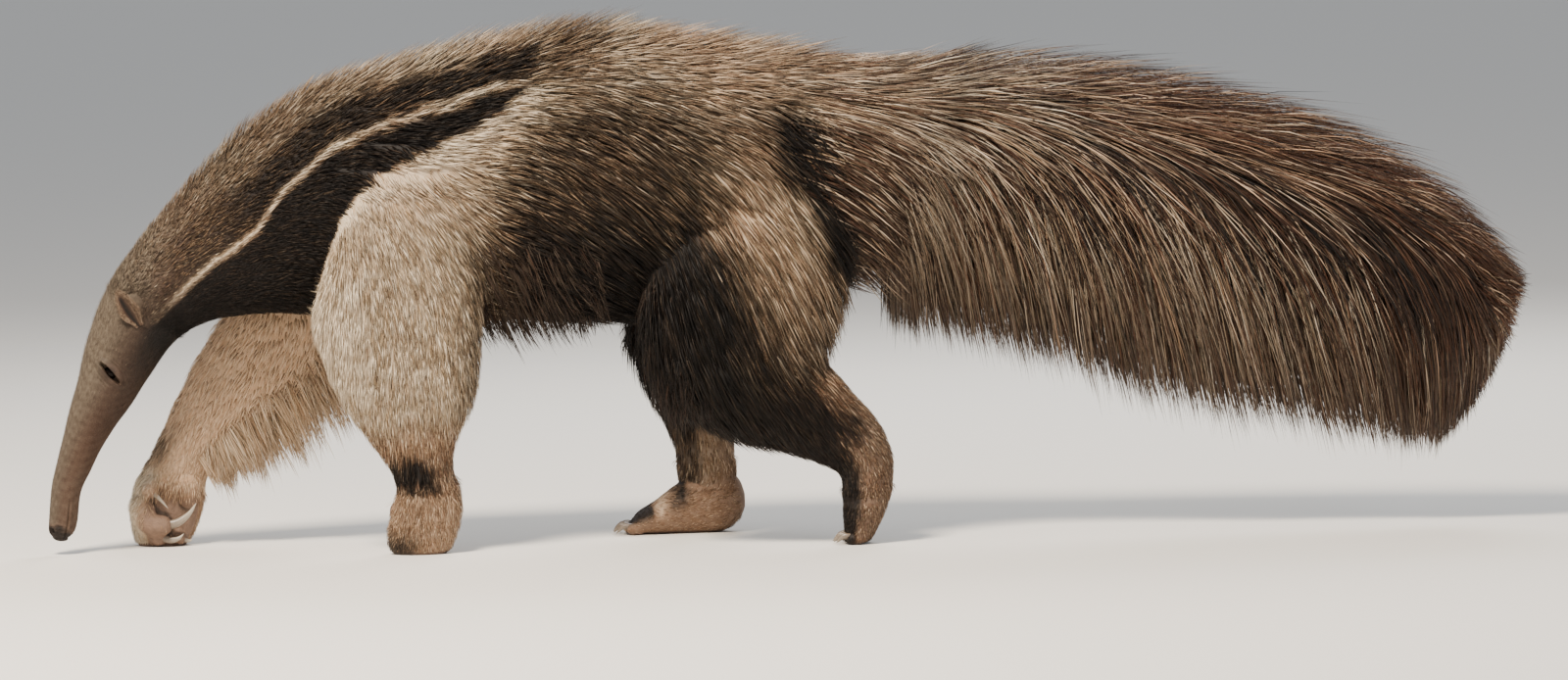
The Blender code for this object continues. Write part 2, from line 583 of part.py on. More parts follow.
def lid_rim(side):
    """The raised rim of both lids: a ring with pointed corners, lying along the head round the eye."""
    slant = math.radians(LID_SLANT)
    along = np.array([math.cos(slant), 0, math.sin(slant)])
    above = np.array([-math.sin(slant), 0, math.cos(slant)])
    out = np.array([0, side, 0])
    turn = np.linspace(0, 2 * math.pi, LID_STEPS, endpoint=False)
    opening = LID_HEIGHT * np.sin(turn) * np.abs(np.sin(turn)) ** 0.4
    centres = eye_centre(side, 0.0) + np.outer(LID_LENGTH * np.cos(turn), along)
    centres += np.outer(opening, above) - np.outer(LID_WRAP * np.cos(turn) ** 2, out)
    ways = unit(np.roll(centres, -1, 0) - np.roll(centres, 1, 0))
    cos, sin = circle(LID_SIDES)
    across = np.cross(ways, out)
    rows = np.array([c + LID_THICK * (cos * a + 0.8 * sin * out) for c, a in zip(centres, across)])
    faces = [
        face
        for i in range(LID_STEPS)
        for face in band(i * LID_SIDES, (i + 1) % LID_STEPS * LID_SIDES, LID_SIDES)
    ]
    return mesh_object("lid_rim", rows.reshape(-1, 3), faces)


def nose_cutters():
    """Two nostril pits at the snout's end, and the line of the mouth that runs round its tip."""
    places = np.linspace(MOUTH_BACK, MOUTH_FRONT, MOUTH_STEPS)
    left = surface(TRUNK, places, -math.radians(MOUTH_ANGLE))
    right = surface(TRUNK, places[::-1], math.radians(MOUTH_ANGLE))
    groove = tube("mouth", [*left, *right], [MOUTH_GROOVE] * (2 * MOUTH_STEPS), 4)
    pits = [
        ball("nostril", surface(TRUNK, NOSTRIL_RING, math.radians(turn)), NOSTRIL_SIZE, NOSTRIL_MESH)
        for turn in (-NOSTRIL_ANGLE, NOSTRIL_ANGLE)
    ]
    return [groove, *pits]


def head_and_eyes():
    """The head with lid rims, eye sockets, nostrils and mouth line, and the two eyeballs in it."""
    head = united([loft("head", TRUNK, HEAD, gaps=(0.0, HALF_GAP)), lid_rim(-1), lid_rim(1)])
    eyes, cutters = [], nose_cutters()
    for name, side in (("eye_left", -1), ("eye_right", 1)):
        centre = eye_centre(side, EYE_SUNK)
        eyes.append(ball(name, centre, [EYE_RADIUS] * 3, EYE_MESH))
        cutters.append(ball("socket", centre, [EYE_RADIUS] * 3, EYE_MESH, GAP))
    cut(head, cutters)
    removed(cutters)
    return [head], eyes


def ear(name, side, around_trunk):
    """One ear: a round cupped leaf standing up with its hollow outwards, its root cut to meet the head."""
    mirror = Vector((1, side, 1))
    tall = (Vector(EAR_LEAN) * mirror).normalized()
    hollow = Vector(EAR_OPENS) * mirror
    hollow = (hollow - hollow.dot(tall) * tall).normalized()
    turned = Matrix((hollow.cross(tall), hollow, tall)).transposed().to_4x4()
    leaf = ball(name, (0, 0, 0), EAR_SIZE, EAR_MESH)
    scoop = ball("scoop", (0, EAR_SCOOP, 0), [size - EAR_RIM for size in EAR_SIZE], EAR_MESH)
    cut(leaf, [scoop])
    removed([scoop])
    leaf.data.transform(Matrix.Translation(Vector(EAR_CENTRE) * mirror) @ turned)
    return cut(leaf, around_trunk)


def in_paw(points, rings, side):
    """Points of a paw's own frame, set in the animal's frame. Side is -1 for the left paw."""
    ring = rings[PAW_RING]
    return [(ring.x - forward, ring.y - side * inward, up) for forward, inward, up in points]


def fore_paw(name, rings, side, grow=0.0, gap=0.0):
    """A front paw in one piece: the folded palm, the toes turned in under it, the pad behind the wrist."""
    pieces = [loft(name, rings, FORE_PALM, grow, (gap, 0.0))]
    for digit in FORE_DIGITS:
        pieces.append(tube("toe", in_paw(digit.toe, rings, side), digit.toe_radii, TOE_SIDES, grow))
    pieces.append(ball("pad", in_paw([PAD_PLACE], rings, side)[0], PAD_SIZE, PAD_MESH, grow))
    return united(pieces)


def horn(name, path, radius, around_toes):
    """A claw: a tapered, curved horn, a little wider than high, its root cut to meet the toe."""
    spine = between(path, np.linspace(0, len(path) - 1, CLAW_STEPS))
    taper = np.maximum(1 - np.linspace(0, 1, CLAW_STEPS) ** CLAW_TAPER, CLAW_POINT)
    ways = unit(np.gradient(spine, axis=0))
    cos, sin = circle(CLAW_SIDES)
    rows = []
    for centre, way, share in zip(spine, ways, taper):
        side = unit(np.cross(way, (0.1, 1.0, 0.1)))
        wide, high = CLAW_SECTION[0] * cos * side, CLAW_SECTION[1] * sin * np.cross(way, side)
        rows.append(centre + radius * share * (wide + high))
    return cut(closed_rows(name, np.array(rows)), [around_toes])


def fore_leg(label, rings, side, fringe, around_trunk):
    """One front leg: upper arm, forearm, paw and claws."""
    upper = cut(loft(label + "_upper", rings, FORE_UPPER, gaps=(0.0, HALF_GAP)), around_trunk)
    lower = loft(label + "_lower", rings, FORE_LOWER, gaps=(HALF_GAP, HALF_GAP))
    if fringe:
        haired(lower, hanging(rings, fringe, np.random.default_rng(SEED + 3)))
    cut(lower, around_trunk)
    around_lower = cutter(rings, FORE_LOWER, (0.0, 0.0))
    paw = flattened(cut(fore_paw(label + "_paw", rings, side, gap=HALF_GAP), [around_lower]))
    around_paw = fore_paw("cutter", rings, side, grow=GAP)
    claws = [
        horn(f"claw_{label}_{i + 1}", in_paw(digit.claw, rings, side), digit.claw_radius, around_paw)
        for i, digit in enumerate(FORE_DIGITS)
    ]
    removed([around_lower, around_paw])
    return [upper, lower], [paw], claws


def hind_toes(rings, layout):
    """Roots and tips of a hind foot's toes, fanned across its front. The middle toe reaches furthest."""
    index, spread, reach, height = layout
    x, y = rings[index].x, rings[index].y
    shares, tip_height = np.linspace(-1, 1, HIND_TOES), 0.9 * height
    return [
        ((x, y + 0.85 * spread * s, height), (x - reach * (1 - TOE_LAG * s**2), y + spread * s, tip_height))
        for s in shares
    ]


def hind_foot(sole, toes, grow=0.0):
    """A hind foot in one piece: the sole's loft and its short toes."""
    radii = (TOE_RADIUS, 0.9 * TOE_RADIUS)
    return united([sole, *[tube("toe", toe, radii, TOE_SIDES, grow) for toe in toes]])


def hind_claws(label, toes, around_foot):
    """Short claws, each from the end of its toe forwards and down to just above the ground."""
    claws = []
    for i, (_, (x, y, z)) in enumerate(toes):
        path = [(x, y, z + 0.001), (x - 0.5 * CLAW_LENGTH, y, z), (x - CLAW_LENGTH, y, CLAW_TIP_HEIGHT)]
        claws.append(horn(f"claw_{label}_{i + 1}", path, CLAW_RADIUS, around_foot))
    return claws


def thigh_part(name, rings, thigh, shank, fringe, seed, around_trunk):
    """A thigh with the fringe that hangs before the knee, cut clear of the trunk and the shank."""
    body = loft(name, rings, thigh, gaps=(0.0, HALF_GAP))
    around_shank = cutter(rings, shank, (-GAP / 4, -GAP))
    haired(body, hanging(rings, fringe, np.random.default_rng(seed)), [around_shank])
    removed([around_shank])
    return cut(body, around_trunk)


def hind_leg_left(around_trunk):
    """The left hind leg at the end of its stride: thigh, shank, and a foot raised on its toes."""
    thigh = thigh_part(
        "hind_left_thigh", HIND_LEFT, LEFT_THIGH, LEFT_SHANK, LEFT_KNEE_FRINGE, SEED + 5, around_trunk
    )
    shank = cut(loft("hind_left_shank", HIND_LEFT, LEFT_SHANK, gaps=(HALF_GAP, HALF_GAP)), around_trunk)
    toes = hind_toes(HIND_LEFT, LEFT_TOES)
    foot = flattened(hind_foot(loft("hind_left_foot", HIND_LEFT, LEFT_FOOT, gaps=(HALF_GAP, 0.0)), toes))
    around_foot = hind_foot(loft("cutter", HIND_LEFT, LEFT_FOOT, GAP), toes, GAP)
    claws = hind_claws("hind_left", toes, around_foot)
    removed([around_foot])
    return [thigh, shank], [foot], claws


def hind_leg_right(around_trunk):
    """The right hind leg, set forward with its whole sole on the ground."""
    thigh = thigh_part(
        "hind_right_thigh", HIND_RIGHT, RIGHT_THIGH, RIGHT_SHANK, RIGHT_KNEE_FRINGE, SEED + 6, around_trunk
    )
    toes = hind_toes(FOOT_RIGHT, RIGHT_TOES)
    foot = flattened(hind_foot(loft("hind_right_foot", FOOT_RIGHT, RIGHT_SOLE), toes))
    around_foot = hind_foot(cutter(FOOT_RIGHT, RIGHT_SOLE), toes, GAP)
    shank = loft("hind_right_shank", HIND_RIGHT, RIGHT_SHANK, gaps=(HALF_GAP, 0.0))
    cut(shank, [*around_trunk, around_foot])
    claws = hind_claws("hind_right", toes, around_foot)
    removed([around_foot])
    return [thigh, shank], [foot], claws


def material(name):
    """A coat, skin, horn or eye material with the colour it has on the animal."""
    made = bpy.data.materials.get(name) or bpy.data.materials.new(name)
    made.use_nodes = True
    shader = made.node_tree.nodes["Principled BSDF"]
    shader.inputs["Base Color"].default_value = (*COLOURS[name], 1.0)
    shader.inputs["Roughness"].default_value = ROUGHNESS.get(name, FUR_ROUGHNESS)
    shader.inputs["Metallic"].default_value = 0.0
    return made


def finished(objects, colour, collection):
    """Gives each part its material and smooth shading, sharp folds kept, and files it with the animal."""
    for part in objects:
        part.data.materials.clear()
        part.data.materials.append(material(colour))
        part.data.shade_smooth()
        part.data.set_sharp_from_angle(angle=math.radians(SHARP_ANGLE))
        bpy.context.scene.collection.objects.unlink(part)
        collection.objects.link(part)


def centred(objects):
    """Moves every part so that the middle of the animal's box stands over the origin."""
    corners = np.array([Vector(corner) for part in objects for corner in part.bound_box])
    middle = (corners.min(0) + corners.max(0)) / 2
    for part in objects:
        part.data.transform(Matrix.Translation((-middle[0], -middle[1], 0.0)))


def build():
    """Makes every part of the animal."""
    for old in list(bpy.data.objects):
        bpy.data.objects.remove(old)
    animal = bpy.data.collections.new(OBJECT)
    bpy.context.scene.collection.children.link(animal)

    around_trunk = [cutter(TRUNK, stretch) for stretch in (HEAD, NECK, TORSO)]
    head, eyes = head_and_eyes()
    ears = [ear("ear_left", -1, around_trunk), ear("ear_right", 1, around_trunk)]
    neck, tail = [neck_part()], [tail_part(around_trunk[-1:])]
    fore_left, paw_left, claws_left = fore_leg("fore_left", FORE_LEFT, -1, None, around_trunk)
    fore_right, paw_right, claws_right = fore_leg("fore_right", FORE_RIGHT, 1, FOREARM_FRINGE, around_trunk)
    hind_left, foot_left, hind_claws_left = hind_leg_left(around_trunk)
    hind_right, foot_right, hind_claws_right = hind_leg_right(around_trunk)
    around_legs = [
        cutter(rings, part)
        for rings, part in (
            (FORE_LEFT, FORE_UPPER),
            (FORE_RIGHT, FORE_UPPER),
            (FORE_RIGHT, FORE_LOWER),
            (HIND_LEFT, LEFT_THIGH),
            (HIND_RIGHT, RIGHT_THIGH),
        )
    ]
    torso = [torso_part(around_legs)]
    removed(around_trunk + around_legs)

    finished(head + ears, "fur_head", animal)
    finished(eyes, "eye", animal)
    finished(neck + torso, "fur_grizzled", animal)
    finished(fore_left + fore_right + paw_left, "fur_pale", animal)
    finished(tail + hind_left + hind_right, "fur_dark", animal)
    finished(paw_right + foot_left + foot_right, "skin", animal)
    finished(claws_left + claws_right + hind_claws_left + hind_claws_right, "claw", animal)
    centred(list(animal.objects))


build()
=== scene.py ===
"""A giant anteater's looks: its skin, coat, tail plume, ears, eyes, claws and light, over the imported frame.

The animal faces -X and its left side is at -Y. Sections are set in metres in the body's own frame and are
moved together by one shift, read from the frame, when a mesh is made. A place along a body part is counted
in rings, and an angle round it is measured in radians from its upper side towards +Y.
"""

import logging
import math
from dataclasses import dataclass, field
from enum import Enum
from typing import NamedTuple

import bpy
import numpy as np
from mathutils import Euler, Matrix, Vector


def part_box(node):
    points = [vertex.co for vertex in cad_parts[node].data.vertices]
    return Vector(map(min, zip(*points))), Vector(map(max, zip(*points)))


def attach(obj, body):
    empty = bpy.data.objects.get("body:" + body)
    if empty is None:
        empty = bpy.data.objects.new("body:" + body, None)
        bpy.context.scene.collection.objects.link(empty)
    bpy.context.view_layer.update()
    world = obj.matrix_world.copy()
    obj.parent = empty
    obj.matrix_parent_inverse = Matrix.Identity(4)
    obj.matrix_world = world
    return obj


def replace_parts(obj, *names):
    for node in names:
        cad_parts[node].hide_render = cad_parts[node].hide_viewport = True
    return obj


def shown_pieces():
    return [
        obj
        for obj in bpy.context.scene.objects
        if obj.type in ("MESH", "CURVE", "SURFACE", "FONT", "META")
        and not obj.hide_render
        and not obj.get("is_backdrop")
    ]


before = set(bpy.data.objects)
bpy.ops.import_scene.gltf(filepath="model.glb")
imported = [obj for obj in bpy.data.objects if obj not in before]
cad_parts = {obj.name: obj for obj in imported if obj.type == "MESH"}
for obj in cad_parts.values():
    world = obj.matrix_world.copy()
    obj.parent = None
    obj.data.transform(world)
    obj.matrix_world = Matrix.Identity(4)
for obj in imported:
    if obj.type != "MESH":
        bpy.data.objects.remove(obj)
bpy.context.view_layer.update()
LOG = logging.getLogger("anteater")
SEED = 7
PIECE_LIMIT = 190000


class Ring(NamedTuple):
    """One section of a body part: centre, heading in degrees, half sizes, and how its top and keel narrow."""

    x: float
    y: float
    z: float
    heading: float
    depth: float
    width: float
    ridge: float = 0.0
    keel: float = 0.0


class Slot(Enum):
    """The record's material slots."""

    HEAD = "coat_head"
    BODY = "coat_body"
    PALE = "coat_pale"
    DARK = "coat_dark"
    SKIN = "bare_skin"
    CLAW = "claw"
    EYE = "eye"


TRUNK = (
    Ring(-0.797, 0, 0.022, 82, 0.0105, 0.0100),
    Ring(-0.796, 0, 0.030, 82, 0.0160, 0.0155),
    Ring(-0.793, 0, 0.046, 82, 0.0182, 0.0175),
    Ring(-0.788, 0, 0.084, 78, 0.0192, 0.0185),
    Ring(-0.777, 0, 0.115, 71, 0.0225, 0.0205),
    Ring(-0.765, 0, 0.146, 67, 0.0262, 0.0235),
    Ring(-0.751, 0, 0.177, 64, 0.0320, 0.0280),
    Ring(-0.735, 0, 0.207, 64, 0.0385, 0.0330),
    Ring(-0.718, 0, 0.245, 63, 0.0465, 0.0390),
    Ring(-0.693, 0, 0.293, 57, 0.0550, 0.0450, 0.05),
    Ring(-0.663, 0, 0.330, 44, 0.0640, 0.0510, 0.10),
    Ring(-0.620, 0, 0.363, 33, 0.0800, 0.0590, 0.15),
    Ring(-0.559, 0, 0.395, 26, 0.1070, 0.0730, 0.22),
    Ring(-0.494, 0, 0.420, 20, 0.1370, 0.0900, 0.28),
    Ring(-0.420, 0, 0.440, 12, 0.1620, 0.1080, 0.32),
    Ring(-0.345, 0, 0.448, 8, 0.1760, 0.1200, 0.32),
    Ring(-0.238, 0, 0.463, 4, 0.1850, 0.1360, 0.30),
    Ring(-0.113, 0, 0.469, -2, 0.1970, 0.1480, 0.28),
    Ring(0.011, 0, 0.458, -4, 0.1920, 0.1480, 0.25),
    Ring(0.134, 0, 0.450, -2, 0.1780, 0.1380, 0.20),
    Ring(0.212, 0, 0.470, 4, 0.1380, 0.1120, 0.12),
    Ring(0.260, 0, 0.497, 6, 0.0920, 0.0820, 0.05),
)
TAIL_COAT = (
    Ring(0.262, 0, 0.497, 6, 0.0920, 0.0820, 0.05),
    Ring(0.290, 0, 0.440, -7, 0.1800, 0.1120, 0.10, 0.30),
    Ring(0.370, 0, 0.437, -6, 0.1980, 0.1250, 0.15, 0.40),
    Ring(0.493, 0, 0.412, -6, 0.2130, 0.1300, 0.20, 0.45),
    Ring(0.620, 0, 0.376, -5, 0.2280, 0.1300, 0.20, 0.45),
    Ring(0.752, 0, 0.342, -3, 0.2250, 0.1250, 0.20, 0.45),
    Ring(0.883, 0, 0.308, -3, 0.2120, 0.1130, 0.20, 0.45),
    Ring(0.970, 0, 0.270, -8, 0.1780, 0.0930, 0.20, 0.40),
    Ring(1.018, 0, 0.240, -16, 0.1350, 0.0700, 0.20, 0.30),
    Ring(1.058, 0, 0.250, -20, 0.0700, 0.0400, 0.10, 0.10),
)
TAIL_BONE = (0.497, 0.520, 0.514, 0.494, 0.464, 0.425, 0.365, 0.300, 0.262, 0.250)
FORE_LEFT = (
    Ring(-0.330, -0.050, 0.520, -90, 0.070, 0.040),
    Ring(-0.330, -0.078, 0.445, -90, 0.098, 0.060),
    Ring(-0.345, -0.088, 0.370, -90, 0.106, 0.064),
    Ring(-0.355, -0.093, 0.300, -90, 0.112, 0.064),
    Ring(-0.350, -0.095, 0.240, -90, 0.103, 0.060),
    Ring(-0.343, -0.097, 0.198, -88, 0.090, 0.054),
    Ring(-0.338, -0.098, 0.160, -86, 0.068, 0.046),
    Ring(-0.333, -0.099, 0.129, -84, 0.050, 0.040),
    Ring(-0.327, -0.100, 0.104, -86, 0.041, 0.036),
    Ring(-0.322, -0.101, 0.083, -90, 0.041, 0.034),
    Ring(-0.322, -0.102, 0.058, -95, 0.043, 0.031),
    Ring(-0.329, -0.102, 0.032, -98, 0.044, 0.030),
    Ring(-0.334, -0.102, 0.010, -96, 0.040, 0.028),
    Ring(-0.336, -0.102, -0.004, -92, 0.030, 0.022),
)
FORE_RIGHT = (
    Ring(-0.370, 0.046, 0.500, -95, 0.070, 0.040),
    Ring(-0.385, 0.076, 0.425, -105, 0.090, 0.056),
    Ring(-0.425, 0.086, 0.355, -118, 0.096, 0.060),
    Ring(-0.478, 0.094, 0.292, -128, 0.094, 0.060),
    Ring(-0.530, 0.098, 0.240, -132, 0.084, 0.056),
    Ring(-0.572, 0.100, 0.200, -132, 0.070, 0.050),
    Ring(-0.604, 0.101, 0.168, -130, 0.056, 0.044),
    Ring(-0.630, 0.102, 0.136, -124, 0.045, 0.039),
    Ring(-0.647, 0.102, 0.108, -115, 0.041, 0.036),
    Ring(-0.658, 0.103, 0.084, -106, 0.044, 0.034),
    Ring(-0.666, 0.104, 0.058, -100, 0.046, 0.031),
    Ring(-0.671, 0.104, 0.032, -95, 0.044, 0.030),
    Ring(-0.674, 0.104, 0.010, -92, 0.037, 0.028),
    Ring(-0.674, 0.104, -0.004, -90, 0.028, 0.022),
)
HIND_LEFT = (
    Ring(0.130, -0.062, 0.520, -90, 0.080, 0.050),
    Ring(0.104, -0.082, 0.420, -95, 0.128, 0.066),
    Ring(0.082, -0.096, 0.325, -90, 0.140, 0.072),
    Ring(0.080, -0.103, 0.245, -76, 0.124, 0.068),
    Ring(0.114, -0.105, 0.196, -56, 0.091, 0.058),
    Ring(0.168, -0.105, 0.163, -42, 0.062, 0.049),
    Ring(0.214, -0.104, 0.129, -48, 0.047, 0.041),
    Ring(0.233, -0.103, 0.097, -76, 0.038, 0.036),
    Ring(0.233, -0.102, 0.062, -92, 0.032, 0.034),
    Ring(0.227, -0.102, 0.032, -98, 0.025, 0.036),
    Ring(0.222, -0.102, 0.010, -96, 0.018, 0.036),
    Ring(0.221, -0.102, 0.003, -90, 0.015, 0.034),
)
HIND_RIGHT = (
    Ring(0.125, 0.062, 0.520, -90, 0.080, 0.050),
    Ring(0.095, 0.082, 0.420, -98, 0.122, 0.066),
    Ring(0.058, 0.096, 0.335, -104, 0.126, 0.070),
    Ring(0.024, 0.103, 0.262, -98, 0.104, 0.064),
    Ring(0.016, 0.105, 0.205, -86, 0.074, 0.054),
    Ring(0.021, 0.105, 0.158, -84, 0.053, 0.045),
    Ring(0.027, 0.105, 0.115, -86, 0.042, 0.038),
    Ring(0.030, 0.105, 0.075, -88, 0.040, 0.035),
    Ring(0.031, 0.105, 0.045, -90, 0.034, 0.030),
)
FOOT_RIGHT = (
    Ring(0.078, 0.105, 0.040, 180, 0.010, 0.010),
    Ring(0.070, 0.105, 0.042, 180, 0.028, 0.024),
    Ring(0.048, 0.105, 0.042, 180, 0.043, 0.034),
    Ring(0.016, 0.105, 0.040, 180, 0.044, 0.036),
    Ring(-0.014, 0.105, 0.028, 180, 0.032, 0.037),
    Ring(-0.040, 0.105, 0.019, 180, 0.022, 0.038),
    Ring(-0.058, 0.105, 0.014, 180, 0.016, 0.036),
    Ring(-0.068, 0.105, 0.010, 180, 0.009, 0.029),
)
PAW_RING = 11


class Digit(NamedTuple):
    """A front toe and its claw, as points in the paw's frame: forward, inward and up, in metres."""

    toe: tuple
    toe_radii: tuple
    claw: tuple
    claw_radius: float


FORE_DIGITS = (
    Digit(
        ((0.012, 0.018, 0.082), (0.017, 0.033, 0.073)),
        (0.013, 0.010),
        ((0.014, 0.033, 0.072), (0.004, 0.037, 0.064), (-0.008, 0.037, 0.050)),
        0.0032,
    ),
    Digit(
        ((0.026, 0.016, 0.052), (0.018, 0.032, 0.032), (0.000, 0.036, 0.028)),
        (0.017, 0.015, 0.013),
        ((0.002, 0.036, 0.028), (-0.018, 0.038, 0.031), (-0.034, 0.037, 0.042), (-0.044, 0.035, 0.056)),
        0.0054,
    ),
    Digit(
        ((0.014, 0.010, 0.022), (0.006, 0.026, 0.013)),
        (0.015, 0.012),
        ((0.004, 0.031, 0.013), (-0.010, 0.034, 0.009), (-0.020, 0.034, 0.011), (-0.027, 0.033, 0.017)),
        0.0042,
    ),
    Digit(
        ((-0.014, 0.006, 0.022), (-0.020, 0.020, 0.011)),
        (0.013, 0.010),
        ((-0.022, 0.022, 0.010), (-0.031, 0.024, 0.007), (-0.037, 0.025, 0.008)),
        0.0032,
    ),
)
PAD_PLACE, PAD_RADII = ((-0.029, 0.019, 0.084), (-0.033, 0.020, 0.062)), (0.017, 0.014)
HIND_TOES, TOE_RADIUS, TOE_LAG = 5, 0.0085, 0.35
LEFT_TOES, RIGHT_TOES = (10, 0.027, 0.012, 0.0080), (6, 0.028, 0.014, 0.0085)
HIND_CLAW_RADIUS, HIND_CLAW_LENGTH, HIND_CLAW_TIP = 0.0042, 0.021, 0.0030


WAVES, WAVE_GAIN, THINNEST = 8, 2.2, 0.002


def between(rings: tuple, place: np.ndarray) -> np.ndarray:
    """Every number of a ring at a place, by a Catmull-Rom cubic through the four rings round it.

    Args:
        rings: The sections, or any table of rows.
        place: Places counted in rings, of any shape.

    Returns:
        The places' shape with one more axis, which holds a row's numbers.
    """
    table = np.array(rings, float)
    place = np.clip(np.asarray(place, float), 0, len(table) - 1)
    start = np.minimum(place.astype(int), len(table) - 2)
    u = (place - start)[..., None]
    before, first = table[np.maximum(start - 1, 0)], table[start]
    second, after = table[start + 1], table[np.minimum(start + 2, len(table) - 1)]
    return 0.5 * (
        2 * first
        + (second - before) * u
        + (2 * before - 5 * first + 4 * second - after) * u**2
        + (3 * first - before - 3 * second + after) * u**3
    )


def surface(rings: tuple, place: np.ndarray, angle: np.ndarray, grow: np.ndarray = 0.0) -> np.ndarray:
    """Points of a loft: centre, plus depth times cosine upwards, plus width times sine across.

    Args:
        rings: The loft's sections.
        place: Places along it, counted in rings.
        angle: Angles round it in radians, from its upper side.
        grow: Metres added to both half sizes.

    Returns:
        The points, with the last axis x, y, z.
    """
    x, y, z, heading, depth, width, ridge, keel = np.moveaxis(between(rings, place), -1, 0)
    heading = np.radians(heading)
    up = np.cos(angle)
    narrowed = 1 - ridge * np.maximum(up, 0) ** 2 - keel * np.maximum(-up, 0) ** 2
    across = np.maximum(width + grow, THINNEST) * np.sin(angle) * narrowed
    lift = np.maximum(depth + grow, THINNEST) * up
    return np.stack([x - np.sin(heading) * lift, y + across, z + np.cos(heading) * lift], -1)


def unit(vectors: np.ndarray) -> np.ndarray:
    """The same directions at length one."""
    return vectors / np.maximum(np.linalg.norm(vectors, axis=-1, keepdims=True), 1e-9)


def ripple(points: np.ndarray, size: float, seed: int) -> np.ndarray:
    """A smooth field between about -1 and 1: the mean of eight sine waves in random directions.

    Args:
        points: Points in metres.
        size: The length of a wave in metres.
        seed: Which field.

    Returns:
        One value for each point.
    """
    chance = np.random.default_rng(seed)
    waves = unit(chance.normal(size=(WAVES, 3))) * chance.uniform(0.7, 1.5, (WAVES, 1)) * 2 * math.pi / size
    return np.sin(points @ waves.T + chance.uniform(0, 6.28, WAVES)).mean(-1) * WAVE_GAIN


def step(low: float, high: float, value: np.ndarray) -> np.ndarray:
    """A smooth rise from 0 at low to 1 at high, three t squared less two t cubed."""
    t = np.clip((value - low) / (high - low), 0, 1)
    return t * t * (3 - 2 * t)


def bump(distance: np.ndarray, reach: float) -> np.ndarray:
    """A bell: one at no distance, falling as exp of minus the square of distance over reach."""
    return np.exp(-((distance / reach) ** 2))


EYE_PLACE, EYE_ANGLE = 7.7, math.radians(88)
SHIFT = np.zeros(3)
SHIFT[0] = (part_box("eye_left")[0][0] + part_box("eye_left")[1][0]) / 2 - surface(TRUNK, EYE_PLACE, -EYE_ANGLE)[0]
SHIFT[1] = (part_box("eye_left")[1][1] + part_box("eye_right")[0][1]) / 2


def hex_colour(code: str) -> tuple[float, float, float, float]:
    """An sRGB hex code as a linear colour."""
    parts = [int(code[i : i + 2], 16) / 255 for i in (1, 3, 5)]
    linear = [c / 12.92 if c <= 0.04045 else ((c + 0.055) / 1.055) ** 2.4 for c in parts]
    return (*linear, 1.0)


def add(tree: bpy.types.NodeTree, kind: str, links: dict | None = None, **settings: object) -> bpy.types.Node:
    """Adds one shader node with its settings and links.

    Args:
        tree: The material's node tree.
        kind: The node's type, without its ShaderNode prefix.
        links: From an input's name or number to an output socket or a plain value.
        settings: The node's own properties.

    Returns:
        The node.
    """
    node = tree.nodes.new("ShaderNode" + kind)
    for key, value in settings.items():
        setattr(node, key, value)
    for key, value in (links or {}).items():
        if isinstance(value, bpy.types.NodeSocket):
            tree.links.new(value, node.inputs[key])
        else:
            node.inputs[key].default_value = value
    return node


def colour_socket(value: object) -> object:
    """A hex code as a colour, and anything else as it is."""
    return hex_colour(value) if isinstance(value, str) else value


def mix(tree: bpy.types.NodeTree, share: object, first: object, second: object) -> bpy.types.NodeSocket:
    """Adds a colour mix: the first colour where the share is 0, the second where it is 1.

    Args:
        tree: The material's node tree.
        share: The socket with the share.
        first: A colour's socket or hex code.
        second: The other one's.

    Returns:
        The mixed colour's socket.
    """
    links = {0: share, 6: colour_socket(first), 7: colour_socket(second)}
    return add(tree, "Mix", links, data_type="RGBA").outputs[2]


@dataclass(frozen=True)
class Finish:
    """What every finish has: a name, a roughness, a sheen and how strongly it shines."""

    name: str
    roughness: float = 0.6
    shine: float = 0.3
    sheen: float = 0.0

    def start(self) -> tuple[bpy.types.Material, bpy.types.NodeTree, bpy.types.Node]:
        """Makes the material with its shader's constants set."""
        made = bpy.data.materials.new(self.name)
        made.use_nodes = True
        shader = made.node_tree.nodes["Principled BSDF"]
        shader.inputs["Roughness"].default_value = self.roughness
        shader.inputs["Specular IOR Level"].default_value = self.shine
        shader.inputs["Sheen Weight"].default_value = self.sheen
        return made, made.node_tree, shader


